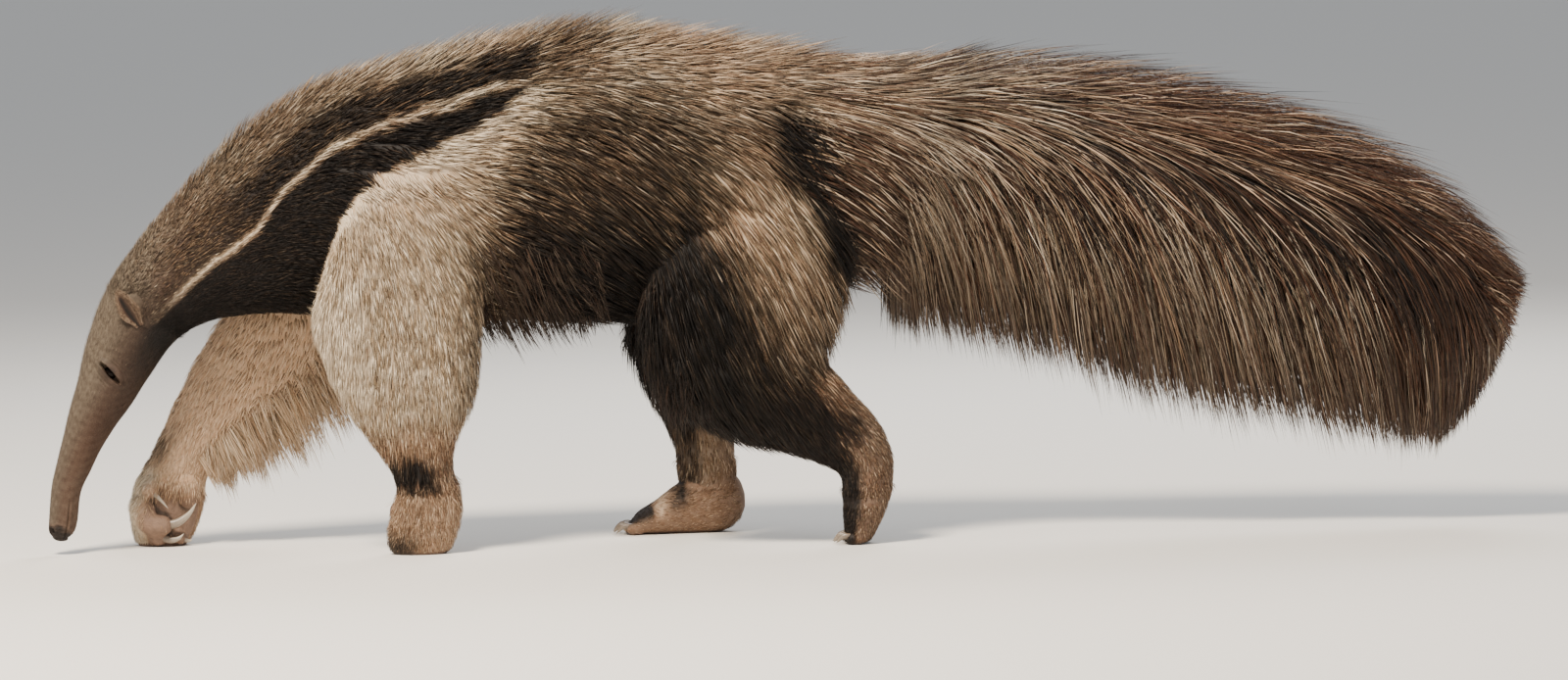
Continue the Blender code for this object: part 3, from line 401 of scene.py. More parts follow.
@dataclass(frozen=True)
class HairFinish(Finish):
    """Grown hair in four natural pigments, each tuft its own shade, with fine pale flecks where it is grizzled.

    The eye sees coarse hair banded in cream and blackish brown, a little glossy along its length.
    """

    shades: tuple = ("#43342a", "#776350")
    creams: tuple = ("#a98f6d", "#f3e6cd")
    warm: str = "#6b3d24"
    tan: str = "#d3a782"
    black: str = "#100c0a"
    fleck: str = "#d6c29f"
    fleck_size: float = 0.0022
    fleck_share: float = 0.35
    bare: tuple = ("#7b6353", "#120e0c")
    wrinkle: float = 0.0012
    fold: float = 0.0080

    def colour(self, tree: bpy.types.NodeTree, place: bpy.types.NodeSocket) -> bpy.types.NodeSocket:
        """Mixes the pigments by the marking attributes.

        Args:
            tree: The node tree.
            place: Object coordinates.

        Returns:
            The colour socket.
        """
        tone = add(tree, "Attribute", attribute_name="tone").outputs["Fac"]
        colours = [mix(tree, tone, *pair) for pair in (self.shades, self.creams)]
        warm = add(tree, "Attribute", attribute_name="warm").outputs["Fac"]
        brown, cream = (mix(tree, warm, *pair) for pair in zip(colours, (self.warm, self.tan)))
        share = add(tree, "Attribute", attribute_name="pale").outputs["Fac"]
        mixed = mix(tree, share, brown, cream)
        speck = add(tree, "TexNoise", {"Vector": place, "Scale": 1 / self.fleck_size, "Detail": 2.0})
        spots = add(tree, "ValToRGB", {0: speck.outputs["Fac"]})
        spots.color_ramp.elements[0].position = 0.50
        spots.color_ramp.elements[1].position = 0.66
        share = add(tree, "Math", {0: spots.outputs[0], 1: self.fleck_share}, operation="MULTIPLY").outputs[0]
        mixed = mix(tree, share, mixed, self.fleck)
        share = add(tree, "Attribute", attribute_name="dark").outputs["Fac"]
        return mix(tree, share, mixed, self.black)

    def material(self) -> bpy.types.Material:
        """The hair material, with a slight unevenness of its gloss."""
        made, tree, shader = self.start()
        place = add(tree, "TexCoord").outputs["Object"]
        tree.links.new(self.colour(tree, place), shader.inputs["Base Color"])
        uneven = add(tree, "TexNoise", {"Vector": place, "Scale": 180.0, "Detail": 2.0})
        rough = add(tree, "MapRange", {0: uneven.outputs["Fac"], 3: self.roughness - 0.1, 4: self.roughness + 0.12})
        tree.links.new(rough.outputs[0], shader.inputs["Roughness"])
        return made


@dataclass(frozen=True)
class SkinFinish(HairFinish):
    """Living skin under the coat in the coat's own pigments, and bare on the nose, pads and toes.

    The eye sees leathery skin with fine wrinkles where it is bare, and a dark felt of hair roots elsewhere, on the body
    darkened further as painted shade between the tufts.
    """

    def material(self) -> bpy.types.Material:
        """The skin material: hair colours and bare skin mixed by the bare attribute, with wrinkles as bump."""
        made, tree, shader = self.start()
        place = add(tree, "TexCoord").outputs["Object"]
        coat = self.colour(tree, place)
        bare = add(tree, "Attribute", attribute_name="bare").outputs["Fac"]
        dark = add(tree, "Attribute", attribute_name="dark").outputs["Fac"]
        skin = mix(tree, dark, *self.bare)
        mottle = add(tree, "TexNoise", {"Vector": place, "Scale": 90.0, "Detail": 5.0})
        shade = add(tree, "MapRange", {0: mottle.outputs["Fac"], 3: 0.6, 4: 1.35}).outputs[0]
        skin = add(tree, "VectorMath", {0: skin, 1: shade}, operation="MULTIPLY").outputs[0]
        mixed = mix(tree, bare, coat, skin)
        tree.links.new(mixed, shader.inputs["Base Color"])
        size = 1 / (2.2 * self.wrinkle)
        cells = add(tree, "TexVoronoi", {"Vector": place, "Scale": size}, feature="DISTANCE_TO_EDGE")
        grain = add(tree, "TexNoise", {"Vector": place, "Scale": 1 / self.wrinkle, "Detail": 3.0})
        height = add(tree, "Math", {0: cells.outputs["Distance"], 1: grain.outputs["Fac"]}, operation="ADD").outputs[0]
        relief = add(tree, "Bump", {"Height": height, "Strength": 0.5, "Distance": 0.0008})
        bent = add(tree, "TexNoise", {"Vector": place, "Scale": 70.0, "Detail": 1.0})
        drift = add(tree, "VectorMath", {0: bent.outputs["Color"], 1: (0.030,) * 3}, operation="MULTIPLY").outputs[0]
        moved = add(tree, "VectorMath", {0: place, 1: drift}, operation="ADD").outputs[0]
        folds = add(tree, "TexVoronoi", {"Vector": moved, "Scale": 1 / self.fold}, feature="DISTANCE_TO_EDGE")
        deep = add(tree, "MapRange", {0: folds.outputs["Distance"], 2: 0.30}).outputs[0]
        crease = add(tree, "Bump", {"Height": deep, "Strength": bare, "Distance": 0.0005, "Normal": relief.outputs[0]})
        tree.links.new(crease.outputs[0], shader.inputs["Normal"])
        return made


@dataclass(frozen=True)
class HornFinish(Finish):
    """Worn keratin of a claw: ivory at the tip, stained and faintly ridged towards its root."""

    tip: str = "#b3a998"
    root: str = "#5a493b"

    def material(self) -> bpy.types.Material:
        """The horn material, coloured by the along attribute and streaked lengthwise by noise."""
        made, tree, shader = self.start()
        place = add(tree, "TexCoord").outputs["Object"]
        along = add(tree, "Attribute", attribute_name="along").outputs["Fac"]
        noise = add(tree, "TexNoise", {"Vector": place, "Scale": 420.0, "Detail": 3.0})
        stain = add(tree, "MapRange", {0: noise.outputs["Fac"], 3: -0.25, 4: 0.25}).outputs[0]
        share = add(tree, "Math", {0: along, 1: stain}, operation="ADD", use_clamp=True).outputs[0]
        colour = mix(tree, share, self.root, self.tip)
        tree.links.new(colour, shader.inputs["Base Color"])
        relief = add(tree, "Bump", {"Height": noise.outputs["Fac"], "Strength": 0.3, "Distance": 0.0003})
        tree.links.new(relief.outputs[0], shader.inputs["Normal"])
        return made


@dataclass(frozen=True)
class EyeFinish(Finish):
    """The wet cornea over a dark brown iris, which reads almost black with one bright glint."""

    iris: str = "#140b07"
    rim: str = "#070504"

    def material(self) -> bpy.types.Material:
        """The eye material: dark brown broken by soft noise."""
        made, tree, shader = self.start()
        place = add(tree, "TexCoord").outputs["Object"]
        noise = add(tree, "TexNoise", {"Vector": place, "Scale": 300.0})
        colour = mix(tree, noise.outputs["Fac"], self.rim, self.iris)
        tree.links.new(colour, shader.inputs["Base Color"])
        return made


@dataclass(frozen=True)
class PaperFinish(Finish):
    """A studio floor of pale matt paper with the faintest grain."""

    tint: str = "#e6e2db"

    def material(self) -> bpy.types.Material:
        """The paper material, its grain a little bump."""
        made, tree, shader = self.start()
        shader.inputs["Base Color"].default_value = hex_colour(self.tint)
        place = add(tree, "TexCoord").outputs["Object"]
        grain = add(tree, "TexNoise", {"Vector": place, "Scale": 60.0, "Detail": 4.0})
        relief = add(tree, "Bump", {"Height": grain.outputs["Fac"], "Strength": 0.04, "Distance": 0.001})
        tree.links.new(relief.outputs[0], shader.inputs["Normal"])
        return made


HAIR = HairFinish("coarse banded hair", 0.56, 0.22, 0.0, shades=("#38271a", "#86684b"))
HEAD_HAIR = HairFinish(
    "short grizzled head hair",
    0.62,
    0.2,
    0.0,
    shades=("#271f19", "#51453a"),
    creams=("#8c7f6b", "#cbbda3"),
    fleck_size=0.0012,
    fleck_share=0.08,
)
TAIL_HAIR = HairFinish(
    "long wiry tail hair", 0.46, 0.3, 0.0, shades=("#2f1f16", "#6d4c35"), fleck_size=0.004, fleck_share=0.06
)
SKIN = SkinFinish("skin under the coat", 0.62, 0.25, 0.0, shades=("#2c2019", "#483830"), fleck_share=0.05)
HEAD_SKIN = SkinFinish(
    "skin of the face",
    0.62,
    0.22,
    0.0,
    shades=("#2b221c", "#4b4037"),
    creams=("#8c7f6b", "#cbbda3"),
    tan="#b58f70",
    fleck_size=0.0014,
    fleck_share=0.05,
)
HORN = HornFinish("worn claw keratin", 0.34, 0.5)
WET_EYE = EyeFinish("wet dark eye", 0.06, 0.1)
PAPER = PaperFinish("matt studio paper", 0.9, 0.1)


def grid_faces(rows: int, sides: int, first: bool = True, last: bool = True) -> np.ndarray:
    """Triangles over a grid that closes round on itself, with a fan to a pole at each closed end.

    Point number is row times sides plus side. The first end's pole comes next, and then the last end's.

    Args:
        rows: Number of rows along the grid.
        sides: Number of points round it.
        first: Whether a pole closes the first row.
        last: Whether a pole closes the last row.

    Returns:
        Three point numbers for each face, turned outwards.
    """
    near = (np.arange(rows - 1) * sides)[:, None] + np.arange(sides)
    beside = (np.arange(rows - 1) * sides)[:, None] + (np.arange(sides) + 1) % sides
    faces = [
        np.stack([near, near + sides, beside + sides], -1).reshape(-1, 3),
        np.stack([near, beside + sides, beside], -1).reshape(-1, 3),
    ]
    a, b = np.arange(sides), (np.arange(sides) + 1) % sides
    pole = rows * sides
    if first:
        faces.append(np.stack([np.full(sides, pole), a, b], -1))
        pole += 1
    if last:
        end = (rows - 1) * sides
        faces.append(np.stack([np.full(sides, pole), end + b, end + a], -1))
    return np.concatenate(faces)


def closed_grid(rows: np.ndarray) -> tuple[np.ndarray, np.ndarray]:
    """A closed surface from rows of points, each end closed at the mean of its last row.

    Args:
        rows: Points by row and side.

    Returns:
        The points and the faces.
    """
    poles = np.stack([rows[0].mean(0), rows[-1].mean(0)])
    return np.concatenate([rows.reshape(-1, 3), poles]), grid_faces(*rows.shape[:2])


def tube(path: np.ndarray, radii: np.ndarray, steps: int, sides: int, flat: float = 1.0) -> np.ndarray:
    """Rows round a path: each centre, plus radius times cosine to the side and sine upwards, with round ends.

    Args:
        path: The centres, at the path's own spacing.
        radii: The radius at each centre.
        steps: Rows along the path.
        sides: Points round it.
        flat: Height over width of a section.

    Returns:
        Points by row and side.
    """
    table = np.concatenate([np.array(path, float), np.array(radii, float)[:, None]], 1)
    t = np.linspace(0, len(table) - 1, steps)
    rows = between(table, t)
    centres, radius = rows[:, :3], rows[:, 3:]
    ways = unit(np.gradient(centres, axis=0))
    turn = np.linspace(0.15, 1.45, 4)
    fore = centres[:1] - ways[:1] * radius[:1] * np.cos(turn)[:, None]
    back = centres[-1:] + ways[-1:] * radius[-1:] * np.cos(turn[::-1])[:, None]
    centres = np.concatenate([fore, centres, back])
    radius = np.concatenate([radius[0] * np.sin(turn)[:, None], radius, radius[-1] * np.sin(turn[::-1])[:, None]])
    ways = np.concatenate([np.repeat(ways[:1], 4, 0), ways, np.repeat(ways[-1:], 4, 0)])
    side = unit(np.cross(ways, (0.12, 1.0, 0.07)))
    up = np.cross(side, ways)
    angle = np.arange(sides) * 2 * math.pi / sides
    round_it = np.cos(angle)[None, :, None] * up[:, None] * flat + np.sin(angle)[None, :, None] * side[:, None] * -1
    return centres[:, None] + radius[:, None] * round_it


def mesh_piece(
    name: str,
    points: np.ndarray,
    faces: np.ndarray,
    finish: bpy.types.Material | None = None,
    slot: Slot | None = None,
    marks: dict | None = None,
    uv: np.ndarray | None = None,
) -> bpy.types.Object:
    """Puts arrays into a mesh object at the origin, moved into the frame by the body's shift.

    Args:
        name: The piece's name.
        points: Its points in the body's frame.
        faces: Three point numbers for each face.
        finish: Its material.
        slot: Any slot makes the piece ride on the body; which slot it is is not stored.
        marks: Values at each point, by attribute name.
        uv: A place on the unwrap for each point.

    Returns:
        The object, riding on the body when it has a slot.
    """
    mesh = bpy.data.meshes.new(name)
    mesh.vertices.add(len(points))
    mesh.vertices.foreach_set("co", (points + SHIFT).astype(np.float32).ravel())
    mesh.loops.add(faces.size)
    mesh.loops.foreach_set("vertex_index", faces.astype(np.int32).ravel())
    mesh.polygons.add(len(faces))
    mesh.polygons.foreach_set("loop_start", np.arange(0, faces.size, 3, dtype=np.int32))
    mesh.update(calc_edges=True)
    mesh.shade_smooth()
    for key, values in (marks or {}).items():
        mesh.attributes.new(key, "FLOAT", "POINT").data.foreach_set("value", values.astype(np.float32))
    if uv is not None:
        layer = mesh.uv_layers.new(name="OFBake")
        layer.data.foreach_set("uv", uv[faces.ravel()].astype(np.float32).ravel())
    made = bpy.data.objects.new(name, mesh)
    bpy.context.scene.collection.objects.link(made)
    if finish:
        mesh.materials.append(finish)
    if slot:
        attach(made, "root")
        LOG.info("%s: %d triangles", name, len(faces))
    return made


class CoatRow(NamedTuple):
    """The coat at one place of a limb: lengths in millimetres, lift in degrees, fall as a share of its way."""

    place: float
    inset: float
    length: float
    lift: float
    fall: float
    spacing: float


@dataclass(frozen=True)
class Limb:
    """One loft of the body, how its coat changes along it, and its cell on the unwrap."""

    name: str
    rings: tuple
    first: float
    last: float
    coat: tuple
    cell: tuple[float, float, float, float]

    def at(self, place: np.ndarray, what: str) -> np.ndarray:
        """One number of the coat at each place, in straight lines between the coat's rows."""
        table = np.array(self.coat, float)
        return np.interp(place, table[:, 0], table[:, CoatRow._fields.index(what)])

    def rows(self, first: float, last: float, steps: int = 60, sides: int = 48) -> np.ndarray:
        """The skin's sections between two places: the loft drawn in by the coat's depth."""
        place = np.linspace(first, last, steps)[:, None]
        angle = (np.arange(sides) * 2 * math.pi / sides)[None, :]
        return surface(self.rings, place, angle, -self.at(place, "inset") / 1000)

    def unwrap(self, place: np.ndarray, angle: np.ndarray) -> np.ndarray:
        """A place on the unwrap: across by the angle round the limb, and up by the place along it."""
        u = (angle / (2 * math.pi) + 0.5) % 1.0
        v = np.clip((place - self.first) / (self.last - self.first), 0, 1)
        return np.stack([self.cell[0] + self.cell[2] * u, self.cell[1] + self.cell[3] * v], -1)


def tail_core() -> tuple:
    """The tail's core: each section part of the way from the bone to the outer surface of the coat."""
    rings = []
    for i, (coat, bone) in enumerate(zip(TAIL_COAT, TAIL_BONE)):
        share = 0.46 if i else 1.0
        height = share * coat.z + (1 - share) * bone
        rings.append(coat._replace(z=height, depth=share * coat.depth, width=share * coat.width))
    return tuple(rings)


TRUNK_HAIR = (
    CoatRow(0.0, 0.5, 4.0, 12, 0.00, 1.15),
    CoatRow(4.0, 0.9, 6.0, 12, 0.00, 1.15),
    CoatRow(7.0, 1.4, 8.0, 13, 0.00, 1.35),
    CoatRow(9.0, 2.5, 11.0, 15, 0.03, 1.8),
    CoatRow(10.5, 4.0, 12.5, 18, 0.06, 2.3),
    CoatRow(12.0, 7.0, 18.0, 21, 0.12, 2.9),
    CoatRow(14.0, 10.0, 28.0, 22, 0.25, 3.5),
    CoatRow(16.0, 15.0, 42.0, 22, 0.50, 4.2),
    CoatRow(18.0, 20.0, 58.0, 21, 0.62, 4.3),
    CoatRow(20.0, 20.0, 70.0, 20, 0.60, 4.4),
    CoatRow(21.0, 18.0, 80.0, 18, 0.50, 4.6),
)
FORE_HAIR = (
    CoatRow(0.0, 10.0, 30.0, 20, 0.50, 4.0),
    CoatRow(4.0, 8.0, 26.0, 21, 0.45, 3.7),
    CoatRow(6.5, 6.0, 21.0, 20, 0.40, 3.3),
    CoatRow(8.0, 4.0, 18.0, 20, 0.30, 2.8),
    CoatRow(9.5, 2.0, 17.0, 21, 0.20, 2.5),
    CoatRow(11.5, 1.2, 11.0, 20, 0.10, 2.3),
    CoatRow(13.0, 0.6, 6.0, 14, 0.00, 2.1),
)
HIND_HAIR = (
    CoatRow(0.0, 18.0, 70.0, 18, 0.60, 4.8),
    CoatRow(2.5, 17.0, 60.0, 18, 0.55, 4.6),
    CoatRow(4.2, 9.0, 38.0, 18, 0.45, 4.0),
    CoatRow(5.8, 4.5, 17.0, 15, 0.30, 3.0),
    CoatRow(7.5, 2.4, 11.0, 15, 0.15, 2.4),
    CoatRow(9.0, 1.5, 11.0, 16, 0.05, 2.3),
    CoatRow(11.0, 0.8, 7.0, 13, 0.00, 2.1),
)
SOLE_HAIR = (CoatRow(0.0, 1.6, 11.0, 14, 0.00, 2.2), CoatRow(7.0, 0.8, 5.0, 12, 0.00, 1.9))
TAIL_ROOT_HAIR = (CoatRow(0.0, 18.0, 85.0, 18, 0.50, 4.8), CoatRow(1.0, 0.0, 85.0, 18, 0.50, 6.0))

HEAD = Limb("head", TRUNK, 0.0, 10.4, TRUNK_HAIR, (0.01, 0.01, 0.24, 0.46))
BODY = Limb("trunk", TRUNK, 9.3, 21.0, TRUNK_HAIR, (0.27, 0.01, 0.44, 0.46))
TAIL = Limb("tail", tail_core(), 0.0, 8.3, TAIL_ROOT_HAIR, (0.73, 0.01, 0.26, 0.46))
NEAR_FORE = Limb("fore_left", FORE_LEFT, 0.0, 13.0, FORE_HAIR, (0.01, 0.50, 0.22, 0.48))
FAR_FORE = Limb("fore_right", FORE_RIGHT, 0.0, 13.0, FORE_HAIR, (0.25, 0.50, 0.22, 0.48))
NEAR_HIND = Limb("hind_left", HIND_LEFT, 0.0, 11.0, HIND_HAIR, (0.49, 0.50, 0.16, 0.48))
FAR_HIND = Limb("hind_right", HIND_RIGHT, 0.0, 8.0, HIND_HAIR, (0.67, 0.50, 0.16, 0.48))
FAR_SOLE = Limb("sole_right", FOOT_RIGHT, 0.0, 7.0, SOLE_HAIR, (0.85, 0.50, 0.14, 0.48))
LIMBS = (HEAD, BODY, TAIL, NEAR_FORE, FAR_FORE, NEAR_HIND, FAR_HIND, FAR_SOLE)


@dataclass
class Bearings:
    """Where points lie on the body: the limb, the place along it, the angle round it, and the coat there."""

    limb: np.ndarray
    place: np.ndarray
    angle: np.ndarray
    lie: np.ndarray
    coat: dict

    def on(self, *limbs: Limb) -> np.ndarray:
        """Whether each point is on one of some limbs."""
        return np.isin(self.limb, [LIMBS.index(limb) for limb in limbs])


def bearings(points: np.ndarray, samples: int = 36, blend: float = 0.22) -> Bearings:
    """Finds each point's limb by its distance from every limb's axis, counted in that limb's half sizes.

    The hair's lie is the mean of the limbs' own directions, each weighed by how near the point is to it.

    Args:
        points: Points in the body's frame.
        samples: Sections tried along each limb.
        blend: How softly the lie changes from one limb to the next.

    Returns:
        The bearings of all the points.
    """
    points = points.astype(np.float32)
    found = {key: [] for key in ("score", "place", "angle", "way")}
    for limb in LIMBS:
        places = np.linspace(limb.first, limb.last, samples).astype(np.float32)
        x, y, z, heading, depth, width = np.moveaxis(between(limb.rings, places), -1, 0)[:6].astype(np.float32)
        heading = np.radians(heading)
        inset = limb.at(places, "inset").astype(np.float32) / 1000
        depth, width = depth - inset, width - inset
        pace = np.hypot(np.gradient(x), np.gradient(z)) + 1e-5
        east, up = points[:, :1] - x, points[:, 2:] - z
        along = east * np.cos(heading) + up * np.sin(heading)
        rise = (up * np.cos(heading) - east * np.sin(heading)) / depth
        side = (points[:, 1:2] - y) / width
        score = rise**2 + side**2 + (along / 0.02) ** 2
        best = np.argmin(score, 1)
        pick = np.arange(len(points)), best
        shift = np.clip(along[pick] / pace[best], -0.6, 0.6) * (places[1] - places[0])
        beyond = np.maximum(np.abs(along[pick]) - pace[best], 0) / 0.02
        found["score"].append(np.sqrt(rise[pick] ** 2 + side[pick] ** 2) + beyond)
        found["place"].append(np.clip(places[best] + shift, limb.first, limb.last))
        found["angle"].append(np.arctan2(side[pick], rise[pick]))
        found["way"].append(np.stack([np.cos(heading[best]), 0 * heading[best], np.sin(heading[best])], -1))
    score, place, angle = (np.array(found[key]) for key in ("score", "place", "angle"))
    near = np.argmin(score, 0)
    weight = np.exp(-np.minimum(score - score.min(0), 3) / blend)
    lie = unit((weight[..., None] * np.array(found["way"])).sum(0) / weight.sum(0)[:, None])
    every = np.arange(len(points))
    coat = {}
    for what in ("inset", "length", "lift", "fall", "spacing"):
        values = np.array([limb.at(place[k], what) for k, limb in enumerate(LIMBS)])
        coat[what] = (weight * values).sum(0) / weight.sum(0)
    return Bearings(near, place[near, every], angle[near, every], lie, coat)


STRIPE = (
    (-0.700, 0.292),
    (-0.655, 0.312),
    (-0.617, 0.348),
    (-0.585, 0.376),
    (-0.534, 0.409),
    (-0.501, 0.458),
    (-0.438, 0.513),
    (-0.362, 0.546),
    (-0.261, 0.574),
    (-0.185, 0.598),
)
WEDGE_EDGE = (
    (-0.474, 0.300),
    (-0.467, 0.3135),
    (-0.447, 0.369),
    (-0.421, 0.431),
    (-0.389, 0.474),
    (-0.338, 0.501),
    (-0.275, 0.528),
    (-0.224, 0.555),
    (-0.185, 0.590),
)
TOP_LINE = (
    (-0.714, 0.367),
    (-0.656, 0.441),
    (-0.613, 0.490),
    (-0.537, 0.555),
    (-0.454, 0.613),
    (-0.360, 0.634),
    (-0.234, 0.662),
    (-0.108, 0.679),
    (0.079, 0.648),
    (0.246, 0.601),
)
SHOULDER_REAR = (
    (0.180, -0.262),
    (0.321, -0.248),
    (0.359, -0.254),
    (0.408, -0.246),
    (0.483, -0.226),
    (0.532, -0.187),
    (0.618, -0.110),
    (0.700, -0.060),
)


@dataclass(frozen=True)
class Markings:
    """The animal's markings as shares of four pigments, from lines on its side view and bearings on its limbs, with
    some painted shade and painted light on its far legs.
    """

    stripe_half: float = 0.0052
    edge: float = 0.006

    def line(self, points: tuple, across: np.ndarray) -> np.ndarray:
        """The second number of a line of points at each first number."""
        table = np.array(points)
        return np.interp(across, table[:, 0], table[:, 1])

    def shares(self, points: np.ndarray, where: Bearings) -> dict:
        """The share of cream, black and red-brown hair and of bare skin at each point.

        Args:
            points: Points in the body's frame.
            where: Their bearings.

        Returns:
            Arrays named pale, dark, warm and bare.
        """
        x, z = points[:, 0], points[:, 2]
        wobble = 0.006 * ripple(points, 0.05, 3) + 0.003 * ripple(points, 0.015, 4)
        x, z = x + wobble, z + wobble
        up = np.cos(where.angle)
        trunk = where.on(BODY, HEAD)
        over = z - self.line(STRIPE, x)
        height = over / np.maximum(self.line(TOP_LINE, x) - self.line(STRIPE, x), 0.02)
        fore = step(-0.70, -0.63, x)
        front = 1 - step(-0.19, -0.17, x)
        grizzle = 0.30 + 0.08 * ripple(points, 0.03, 5)

        pale = np.full(len(x), 0.16) + 0.10 * ripple(points, 0.04, 6)
        dark = np.full(len(x), 0.35)
        warm = 0.15 + 0.12 * ripple(points, 0.12, 8)

        crest = step(0.42, 0.70, height) * front
        band = (1 - step(0.36, 0.62, height)) * step(0.0, 0.01, over) * front * fore
        nape = step(-0.30, -0.50, x)
        pale = np.where(x < -0.17, grizzle + 0.26 * crest * step(-0.56, -0.36, x) - 0.24 * band - 0.11 * nape, pale)
        fore_dark = 0.34 - 0.20 * crest * step(-0.60, -0.40, x) + 0.56 * band * step(-0.68, -0.50, x)
        dark = np.where(x < -0.17, fore_dark, dark)
        dark = dark + 0.12 * nape * (1 - band)

        rear = x - self.line(SHOULDER_REAR, z)
        below = self.line(WEDGE_EDGE, x) - z
        shoulder = (1 - step(-0.030, 0.050, rear)) * step(-0.002, 0.006, below) * step(-0.475, -0.465, x)
        shoulder_pale = 0.84 - 0.34 * step(-0.07, 0.04, rear) + 0.14 * bump(below - 0.012, 0.02)
        wedge = (1 - step(-self.edge, 0, over + self.stripe_half)) * front
        wedge *= np.where(x < -0.47, 1.0, 1 - step(-0.004, 0.004, below)) * step(-0.715, -0.655, x)
        flank = step(-0.030, 0.040, rear) * step(-0.35, -0.25, x)
        top = step(0.35, 0.95, up) * trunk
        rump = np.where(trunk, step(-0.06, 0.04, x), 1.0)
        low = (1 - rump) * step(0.20, -0.55, up) + rump * step(0.46, 0.30, z)
        pale = pale * (1 - flank) + flank * (0.07 + 0.58 * top * (1 - 0.5 * step(0.10, 0.22, x)) + 0.12 * grizzle)
        dark = dark * (1 - flank) + flank * (0.62 - 0.54 * top + 0.36 * low)
        warm = np.where(x > -0.05, warm + 0.25 * top, warm)
        pale = pale * (1 - shoulder) + shoulder * shoulder_pale
        dark = dark * (1 - shoulder) + shoulder * 0.06
        dark = np.maximum(dark, 0.97 * wedge)
        pale = pale * (1 - wedge)
        stripe = bump(over, self.stripe_half) * step(-0.68, -0.62, x) * (1 - step(-0.21, -0.17, x))
        pale = np.maximum(pale, 0.95 * stripe)
        dark = dark * (1 - 0.95 * stripe)

        patch = bump(np.hypot((x - 0.125 + 0.28 * (z - 0.40)) / 0.072, (z - 0.385) / 0.155), 1.0)
        haunch = where.on(NEAR_HIND, FAR_HIND) | (trunk & (x > 0.0))
        knee = bump(np.hypot((x + 0.045) / 0.075, (z - 0.290) / 0.150), 1.0)
        saddle = bump(x - 0.130 - 0.514 * (0.549 - z), 0.030) * step(0.59, 0.53, z) * step(0.30, 0.38, z)
        buttock = bump(np.hypot((x - 0.232) / 0.022, (z - 0.285) / 0.040), 1.0)
        pale = np.where(haunch, pale * (1 - knee) + 0.42 * patch + 0.75 * buttock, pale)
        haunch_dark = dark + 0.80 * knee - 0.80 * patch * (1 - saddle) + 0.75 * saddle - buttock
        dark = np.where(haunch, np.clip(haunch_dark, 0, 1), dark)
        warm = np.where(haunch, warm + 0.3 * patch, warm)

        leg = where.on(NEAR_FORE, FAR_FORE)
        far = where.on(FAR_FORE)
        rag = 60 * wobble
        wrist = step(6.4, 7.7, where.place + rag) * (1 - step(8.4, 9.7, where.place + rag + 0.9 * far))
        brow = bump(where.place - 3.3, 1.6) * step(-0.1, -0.8, up)
        shin = step(5.2, 6.8, where.place)
        elbow = step(0.55, 1.0, up) * (1 - step(4.8, 6.5, where.place))
        joined = leg * step(0.9, 2.4, where.place)
        leg_pale = 0.60 + 0.18 * step(1.2, 3.5, where.place) + 0.12 * ripple(points, 0.03, 9) + 0.30 * brow
        # The far foreleg's extra 0.34 of cream is partly its own pale hair and partly painted light.
        leg_pale = leg_pale - 0.44 * shin * ~far - 0.25 * elbow * ~far + 0.34 * far
        ring = np.where(far, 0.8 * step(-0.3, -0.8, up), 0.40 + 0.60 * step(0.75, 0.1, up))
        # On the far foreleg this is painted shadow of the body over the upper arm; on the near foreleg it darkens the
        # rear of the upper arm.
        shade = np.where(far, 0.40 * step(0.27, 0.33, z), 0.35 * elbow)
        pale = pale * (1 - joined) + joined * leg_pale
        dark = dark * (1 - joined) + joined * (0.04 + 0.95 * wrist * ring + shade)
        warm = warm * (1 - joined) + joined * np.where(far, 0.62, 0.12 + 0.42 * shin)
        paw = leg & (where.place > 9.0)
        pale = np.where(paw, 0.56, pale)
        paw_dark = 0.10 + 0.75 * step(10.6, 12.0, where.place) * step(0.4, -0.5, up)
        dark = np.where(paw, np.where(far, 0.05, paw_dark), dark)
        inner = leg & ~far & (points[:, 1] > -0.06) & (where.place > 2) & (where.place < 8)
        dark = np.where(inner, dark + 0.12, dark)

        for limb, knee_place, foot_place in ((NEAR_HIND, 3.4, 6.4), (FAR_HIND, 3.2, 5.6)):
            on = where.on(limb)
            shank = step(knee_place, knee_place + 0.8, where.place)
            foot = step(foot_place - 1.3, foot_place + 0.5, where.place + rag)
            brown = step(0.20, 0.90, up + 20 * wobble)
            # The far hind shank gets less brown than the near one: partly its own dark hair, partly painted shade of
            # the body over it.
            lighter, foot_black = (0.66, 0.36) if limb is NEAR_HIND else (0.26, 0.12)
            dark = np.where(on, dark * (1 - shank) + shank * (0.98 - lighter * brown), dark)
            pale = np.where(on, pale * (1 - shank) + shank * (0.06 + 0.26 * brown), pale)
            foot_dark = foot_black + 0.62 * step(0.05, -0.50, up + 15 * wobble)
            dark = np.where(on, dark * (1 - foot) + foot * foot_dark, dark)
            pale = np.where(on, pale * (1 - foot) + foot * (0.24 if limb is NEAR_HIND else 0.30), pale)
            warm = np.where(on, warm + 0.30 * np.maximum(foot, shank), warm)
        sole = where.on(FAR_SOLE)
        above = step(0.30, -0.45, up)
        black = np.maximum(step(-0.038, -0.045, x), bump(x + 0.002, 0.010)) * above
        dark = np.where(sole, 0.10 + 0.86 * black, dark)
        pale = np.where(sole, 0.28 + 0.62 * bump(x + 0.027, 0.010) * above, pale)
        warm = np.where(sole, 0.50, warm)

